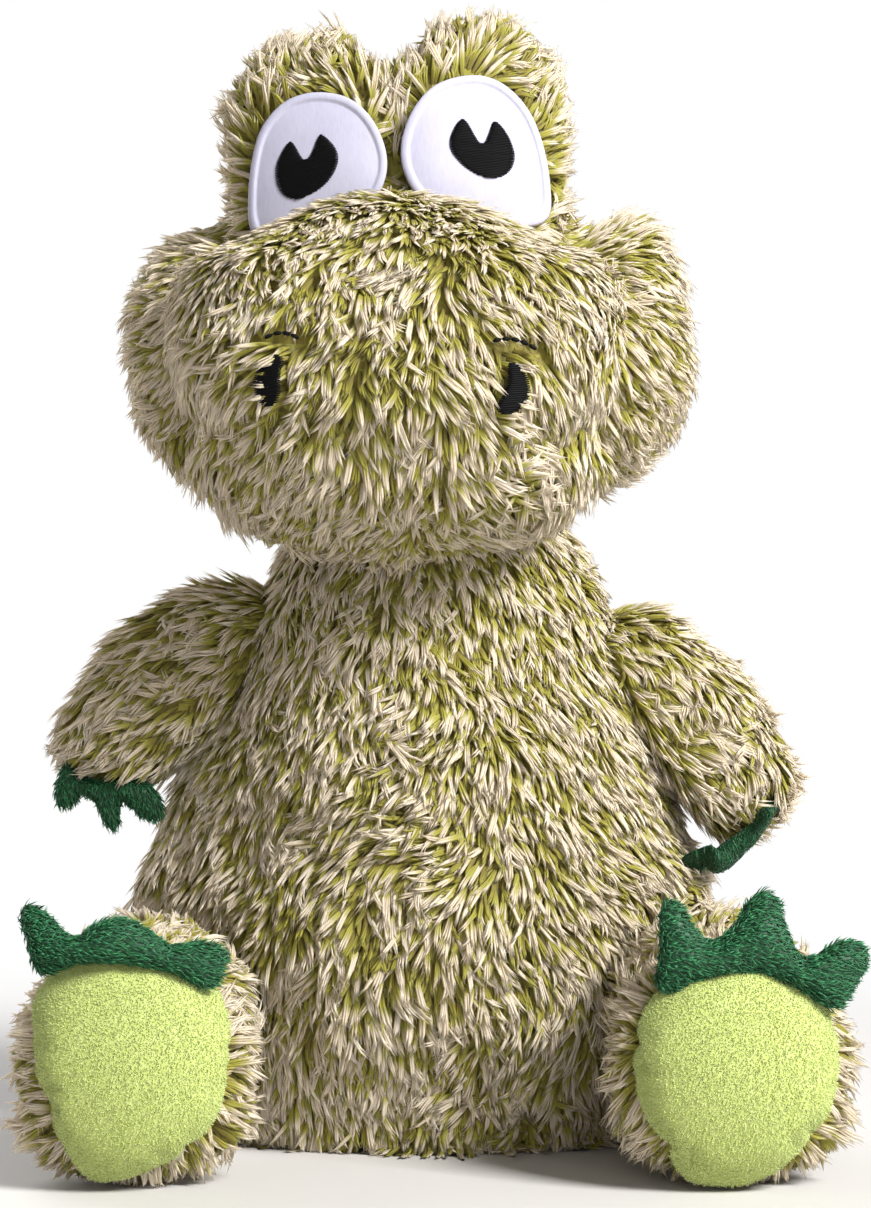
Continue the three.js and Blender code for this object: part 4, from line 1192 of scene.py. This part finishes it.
hand = {"right": np.array([-83.0, -3.4, 106.0]), "left": np.array([78.0, -3.4, 93.0])}
armComb = {"fan": 0.5, "flatTop": 0.45}
tailFlow = (0.0, 1.0, -0.2)


def muzzleFlow(roots):  # over the top, down the front and back under the chin
    x, y, z = roots.T
    axisY, axisZ = muzzleComb["axis"]
    flow = unit(np.stack([np.zeros(len(roots)), axisZ - z, y - axisY], 1))
    flow[:, 0] = np.clip((x - bridge[0]) / muzzleComb["spread"], -1, 1)
    hub = fade(np.hypot(y - axisY, z - axisZ), *muzzleComb["hub"])[:, None]
    flow = flow * (1 - hub) + hub * np.array(muzzleComb["hubFlow"])
    brow = (ease(z, *muzzleComb["browTop"]) * ease(y, *muzzleComb["browBack"]))[:, None]
    return flow + brow * (np.array(muzzleComb["browFlow"]) + flow * np.array(muzzleComb["browSpread"]))


def combing(body, cover, roots):
    side = cover.split("_")[0]
    if body == "torso":
        flow = np.stack([roots[:, 0] / torsoWidth, np.zeros(len(roots)), np.full(len(roots), -1.0)], 1)
    elif "mound" in cover:
        x, z = eyeShape[side]["centre"]
        hub = np.array([x, moundHub["y"], z - moundHub["below"]])
        flow = unit(roots - hub) + np.array([0, 0, moundHub["up"]])
    elif cover in ("muzzle_cover", "jaw_cover"):
        flow = muzzleFlow(roots)
    elif body == "head":
        flow = unit(roots - bridge)
    elif body.endswith("arm"):
        flow = unit((hand[side] - shoulder[side])[None]) + unit(roots - shoulder[side]) * armComb["fan"]
    elif body.endswith("leg"):
        flow = unit(roots - padMiddle[side])
    else:
        flow = np.tile(np.array([tailFlow]), (len(roots), 1))
    return unit(flow)


def blended(roots, flow):  # so that the combing of one pouch runs over into the next
    some = np.arange(0, len(roots), pile["blendStep"])
    tree = KDTree(len(some))
    for n in some:
        tree.insert(roots[n], int(n))
    tree.balance()
    near = [[n for _, n, _ in tree.find_range(spot, pile["blend"])] for spot in roots]
    return np.array([flow[mine].mean(0) if mine else own for mine, own in zip(near, flow)])


def depthInside(spots, tree):
    deepest = 30.0
    out = np.zeros(len(spots))
    for n, spot in enumerate(spots):
        place, facing, _, away = tree.find_nearest(Vector(spot), deepest)
        if place is not None and (Vector(spot) - place).dot(facing) < 0:
            out[n] = away
    return out


def clearMask(path, trees, crossing):  # locks that run free of what their body keeps clear
    free = np.ones(len(path[0]), bool)
    for tree, gap, crossed in trees:
        bound = ~crossing if crossed else np.ones(len(free), bool)
        for t in (0.0, 0.35, 0.7, 1.0):
            spots = pathAt(path, t)
            tested = free if t == 0.0 else free & bound
            for n in np.where(tested)[0]:
                if tree.find_nearest(Vector(spots[n]), gap)[0] is not None:
                    free[n] = False
    return free


def eyeWindow(path, muzzle, dice):
    # no lock hangs across an eye, and the muzzle's pile stops at the lid line that the photograph shows
    nearEdge, beforeHead = 0.97, -8
    free = np.ones(len(path[0]), bool)
    ragged = dice.uniform(0, pile["ragged"], len(free))
    for side in sides:
        for t in (0.35, 0.7, 0.85, 1.0):
            spots = pathAt(path, t)
            over = (eyeShare(side, spots[:, [0, 2]]) < nearEdge) & (spots[:, 1] < beforeHead)
            u, v = pixelOf(spots)
            high = v < np.interp(u, *lidLine) - ragged
            free &= ~(over & (~muzzle | high))
    return free


def aroundNostrils(roots, flow, length, lift, fall):  # combs the pile there, and says which locks may cross
    look, flat = nostrilComb, roots[:, [0, 2]]
    atFront = roots[:, 1] < look["front"]
    crossing = np.zeros(len(roots), bool)
    for side, sign in sides.items():
        fold, patch = foldLine[side], nostrilLoop[side]
        above = flat[:, 1] > np.interp(flat[:, 0], *fold.T)
        near = atFront & above & (fromLoop(flat, fold) < look["fan"])
        fan = flat[near] - patch.mean(0)
        flow[near] = np.stack([fan[:, 0], np.zeros(len(fan)), fan[:, 1]], 1)
        lift[near], fall[near] = np.radians(look["fanLay"])
        length[near] *= look["fanLength"]
        inner = (flat[:, 0] - patch[:, 0].mean()) * sign < 0
        beside = atFront & inner & (fromLoop(flat, patch) < look["cross"]) & ~near & ~inLoop(flat, patch)
        flow[beside] = np.array([sign, 0.0, look["crossDrop"]])
        lift[beside], fall[beside] = np.radians(look["crossLay"])
        crossing |= beside
    return crossing


def strandsOf(path, count, dice):
    # each lock is three strands, widest half way and gathered again at the tip
    which = np.tile(np.arange(count), 3)
    step = np.repeat([0.0, 1.0, -1.0], count)[:, None]
    start, knee, tip, across = (p[which] for p in path)
    aside = across * step * pile["spread"]
    reach = np.where(step == 0, 1.0, dice.uniform(*strand["reach"], (len(which), 1)))
    stray = dice.normal(0, strand["stray"], (len(which), 3)) * (step != 0)
    first = start + aside * strand["root"]
    last = first + (tip - start) * reach + aside * dice.uniform(*strand["tip"], (len(which), 1)) + stray
    return which, (first, knee + aside * dice.uniform(*strand["belly"], (len(which), 1)), last, across)


def rootsOf(body, dice):  # without the roots that lie deep in another body
    roots, facing, owner = scatter(*skins[body], pile["spacing"], dice)
    keep = np.ones(len(roots), bool)
    for other in covers:
        if other != body:
            keep &= depthInside(roots, formTrees[other]) < skinLook["inset"] + pile["buried"]
    return roots[keep], facing[keep], owner[keep]


def nearestCover(body):  # the number of the cover that each face of a skin stands for
    points, faces = skins[body]
    middles = points[faces].mean(1)
    trees = [nodeTree(cover) for cover in covers[body]]
    return np.array([[tree.find_nearest(Vector(m))[3] for m in middles] for tree in trees]).argmin(0)


def combedFlow(body, roots, facing, cover, seed, dice):
    flow = np.zeros_like(roots)
    for k, name in enumerate(covers[body]):
        flow[cover == k] = combing(body, name, roots[cover == k])
    flow = squareTo(flow, facing)
    if body == "head":
        flow = blended(roots, flow)
    (wide, strong), (narrow, weak) = pile["wander"]
    flow += drift(roots, wide, seed + 1) * strong + drift(roots, narrow, seed + 2) * weak
    flow += perTuft(roots, pile["turnedTuft"], seed) * pile["tuftTurn"]
    flow += dice.normal(size=roots.shape) * pile["lockTurn"]
    flow[:, 2] -= pile["weight"]
    return flow


def between(look, tuft, dice):  # a value for each lock, much the same within a tuft
    low, high = look["ends"]
    stray = dice.normal(0, look["byLock"], len(tuft))
    return low + (high - low) * np.clip(0.5 + tuft * look["byTuft"] + stray, 0, look["most"])


def writePlush(body, faceCover, cover, roots, path, free, under, shade, dice):
    points, faces = skins[body]
    for k, node in enumerate(covers[body]):
        mine = np.where((cover == k) & free)[0]
        mine = mine[np.argsort(roots[mine, 2])]
        own = faces[faceCover == k]
        used, fresh = np.unique(own, return_inverse=True)
        cloth = (points[used], [fresh.reshape(own.shape)], [backingChart(own, dice, pile["backing"])])
        parts = max(1, math.ceil(3 * len(mine) / pile["mostStrands"]))
        for part, some in enumerate(np.array_split(mine, parts)):
            which, strands = strandsOf([p[some] for p in path], len(some), dice)
            underWidth = dice.uniform(*pile["underWidth"], len(which))
            topWidth = dice.uniform(*pile["strandWidth"], len(which))
            width = np.where(under[some][which], underWidth, topWidth)
            tint = np.clip(shade[some][which] + dice.normal(0, pile["strandShade"], len(which)), 0, 0.99)
            locks = growLocks(strands, width, pile, tint)
            name = node.replace("_cover", "").replace("_panel", "") + "_plush"
            if part > 0:
                name += "_%d" % (part + 1)
            piece = writeMesh(name, *together([cloth, locks] if part == 0 else [locks]), finish["pile"])
            settle(piece, body, node if part == 0 else None)
            print(name, len(which), "strands")


def dressBody(body, seed):
    dice = np.random.default_rng(seed)
    roots, facing, owner = rootsOf(body, dice)
    faceCover = nearestCover(body)
    cover, count = faceCover[owner], len(roots)
    flow = combedFlow(body, roots, facing, cover, seed, dice)
    tuft = perTuft(roots, pile["tuft"], seed + 3)
    length = between(pile["length"], tuft[:, 0], dice)
    lift = np.radians(between(pile["lift"], tuft[:, 1], dice))
    fall = np.radians(between(pile["fall"], tuft[:, 2], dice))
    share = pile["under"] + pile["patchShare"] * drift(roots, pile["patch"], seed + 5)[:, 0]
    under = dice.random(count) < share
    length = length * np.where(under, pile["underLength"], 1.0)
    crossing = np.zeros(count, bool)
    if body == "head":
        crossing = aroundNostrils(roots, flow, length, lift, fall)
        muzzle = np.isin(cover, [covers[body].index(name) for name in ("muzzle_cover", "jaw_cover")])
        start, run = muzzleComb["flatTop"]
        flat = muzzle * np.clip((facing[:, 2] - start) / run, 0, 1)
        lift = lift * (1 - muzzleComb["flatLift"] * flat)
        fall = fall * (1 - flat) + muzzleComb["flatFall"] * flat
        length = length * (1 - muzzleComb["flatLength"] * flat)
    if body.endswith("arm"):
        lift = lift * (1 - armComb["flatTop"] * np.clip(facing[:, 2], 0, 1))
    path = lockPath(roots, facing, flow, length, lift, fall, dice.normal(0, pile["bend"], count))
    free = clearMask(path, keepClear[body], crossing)
    if body == "head":
        free &= eyeWindow(path, muzzle, dice)
    underShade = dice.uniform(*pile["underShade"], count)
    topShade = pile["shade"] + tuft[:, 0] * pile["tuftShade"] + dice.normal(0, pile["lockShade"], count)
    shade = np.where(under, underShade, np.clip(topShade, pile["underShade"][1], 0.99))
    writePlush(body, faceCover, cover, roots, path, free, under, shade, dice)


for n, body in enumerate(covers):
    dressBody(body, pile["seed"] + pile["seedStep"] * n)


# fibrefill inside, one lump for each filling, and the neck's firm core
filling = {"voxel": 4.0, "lumps": 0.7, "lumpSize": 13, "inset": 1.2, "fill": 0.6, "seed": 77}
for name in sorted(nodes):
    if name.endswith("_filling") or name == "neck_core":
        points, faces = shaped(nodes[name].data.copy(), [
            ("REMESH", {"mode": "VOXEL", "voxel_size": filling["voxel"] * mm})])
        points, faces = points / mm, quadsOf(faces)
        swell = drift(points, filling["lumpSize"], filling["seed"])[:, :1] * filling["lumps"]
        points = points + vertexNormals(points, faces) * (swell - filling["inset"])
        piece = writeMesh(name + "_fibre", points, [faces], None, finish["filling"])
        settle(piece, nodes[name]["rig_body"], name)
    elif name.endswith(("_bulb", "_reed")):  # the squeakers keep their solids
        nodes[name].data.materials.clear()
        nodes[name].data.materials.append(finish["vinyl" if name.endswith("_bulb") else "reed"])
print("fillings and squeakers ready")


# pale floor and soft studio light
studio = {
    "floor": "#d6d3cf",
    "reach": 6.0,  # half the floor's width, metres
    "fade": (0.16, 0.5),  # metres from the toy over which the floor turns into the white background
    "aim": (0, 0, 0.14),
    "lamps": {
        "key": {"at": (0.97, -0.93, 1.02), "size": 0.5, "power": 48.0},
        "fill": {"at": (0.2, -1.6, 0.35), "size": 0.8, "power": 4.0},
        "back": {"at": (-0.95, 1.25, 0.75), "size": 1.2, "power": 24.0},
    },
    "sky": 0.14, "skyColour": "#e9e9ff",
}


def seenBy(tree, kinds):  # 1 for these kinds of ray
    rays = addNode(tree, "ShaderNodeLightPath").outputs
    seen = rays[kinds[0]]
    for kind in kinds[1:]:
        seen = compute(tree, "MAXIMUM", {0: seen, 1: rays[kind]})
    return seen


# Matt studio paper that runs out to white.
def seamlessPaper():
    material, tree = newMaterial("paleSeamlessPaper")
    where = addNode(tree, "ShaderNodeNewGeometry").outputs["Position"]
    away = addNode(tree, "ShaderNodeVectorMath", {"operation": "LENGTH"}, {0: where}).outputs["Value"]
    near, far = studio["fade"]
    run = {"From Min": near, "From Max": far, "interpolation_type": "SMOOTHSTEP"}
    edge = addNode(tree, "ShaderNodeMapRange", run, {"Value": away}).outputs[0]
    share = compute(tree, "MULTIPLY", {0: edge, 1: seenBy(tree, ["Is Camera Ray", "Is Glossy Ray"])})
    coat = {"Base Color": linear(studio["floor"]), "Roughness": 0.7, "Specular IOR Level": 0.2}
    paper = principled(tree, coat, {})
    white = addNode(tree, "ShaderNodeEmission", {"Color": (1, 1, 1, 1), "Strength": 1.0}).outputs[0]
    surface(tree, addNode(tree, "ShaderNodeMixShader", None, {0: share, 1: paper, 2: white}).outputs[0])
    return material


ground = bmesh.new()
bmesh.ops.create_grid(ground, x_segments=24, y_segments=24, size=studio["reach"])
floorMesh = bpy.data.meshes.new("floor")
ground.to_mesh(floorMesh)
ground.free()
floorMesh.materials.append(seamlessPaper())
floor = place("floor", floorMesh)

for name, look in studio["lamps"].items():
    lamp = bpy.data.lights.new(name, "AREA")
    lamp.size = look["size"]
    lamp.energy = look["power"]
    holder = place(name, lamp)
    holder.location = look["at"]
    holder.rotation_euler = (Vector(studio["aim"]) - holder.location).to_track_quat("-Z", "Y").to_euler()

world = bpy.data.worlds.new("studio")
world.use_nodes = True
scene.world = world
sky = world.node_tree
sky.nodes.clear()
seen = seenBy(sky, ["Is Camera Ray", "Is Glossy Ray", "Is Transmission Ray"])
soft = {"Color": linear(studio["skyColour"]), "Strength": studio["sky"]}
dim = addNode(sky, "ShaderNodeBackground", soft)
bright = addNode(sky, "ShaderNodeBackground", {"Color": (1, 1, 1, 1), "Strength": 1.0})
mixed = addNode(sky, "ShaderNodeMixShader", None, {0: seen, 1: dim.outputs[0], 2: bright.outputs[0]})
addNode(sky, "ShaderNodeOutputWorld", None, {0: mixed.outputs[0]})
scene.view_settings.view_transform = "Standard"
print("studio ready")

bpy.context.view_layer.update()
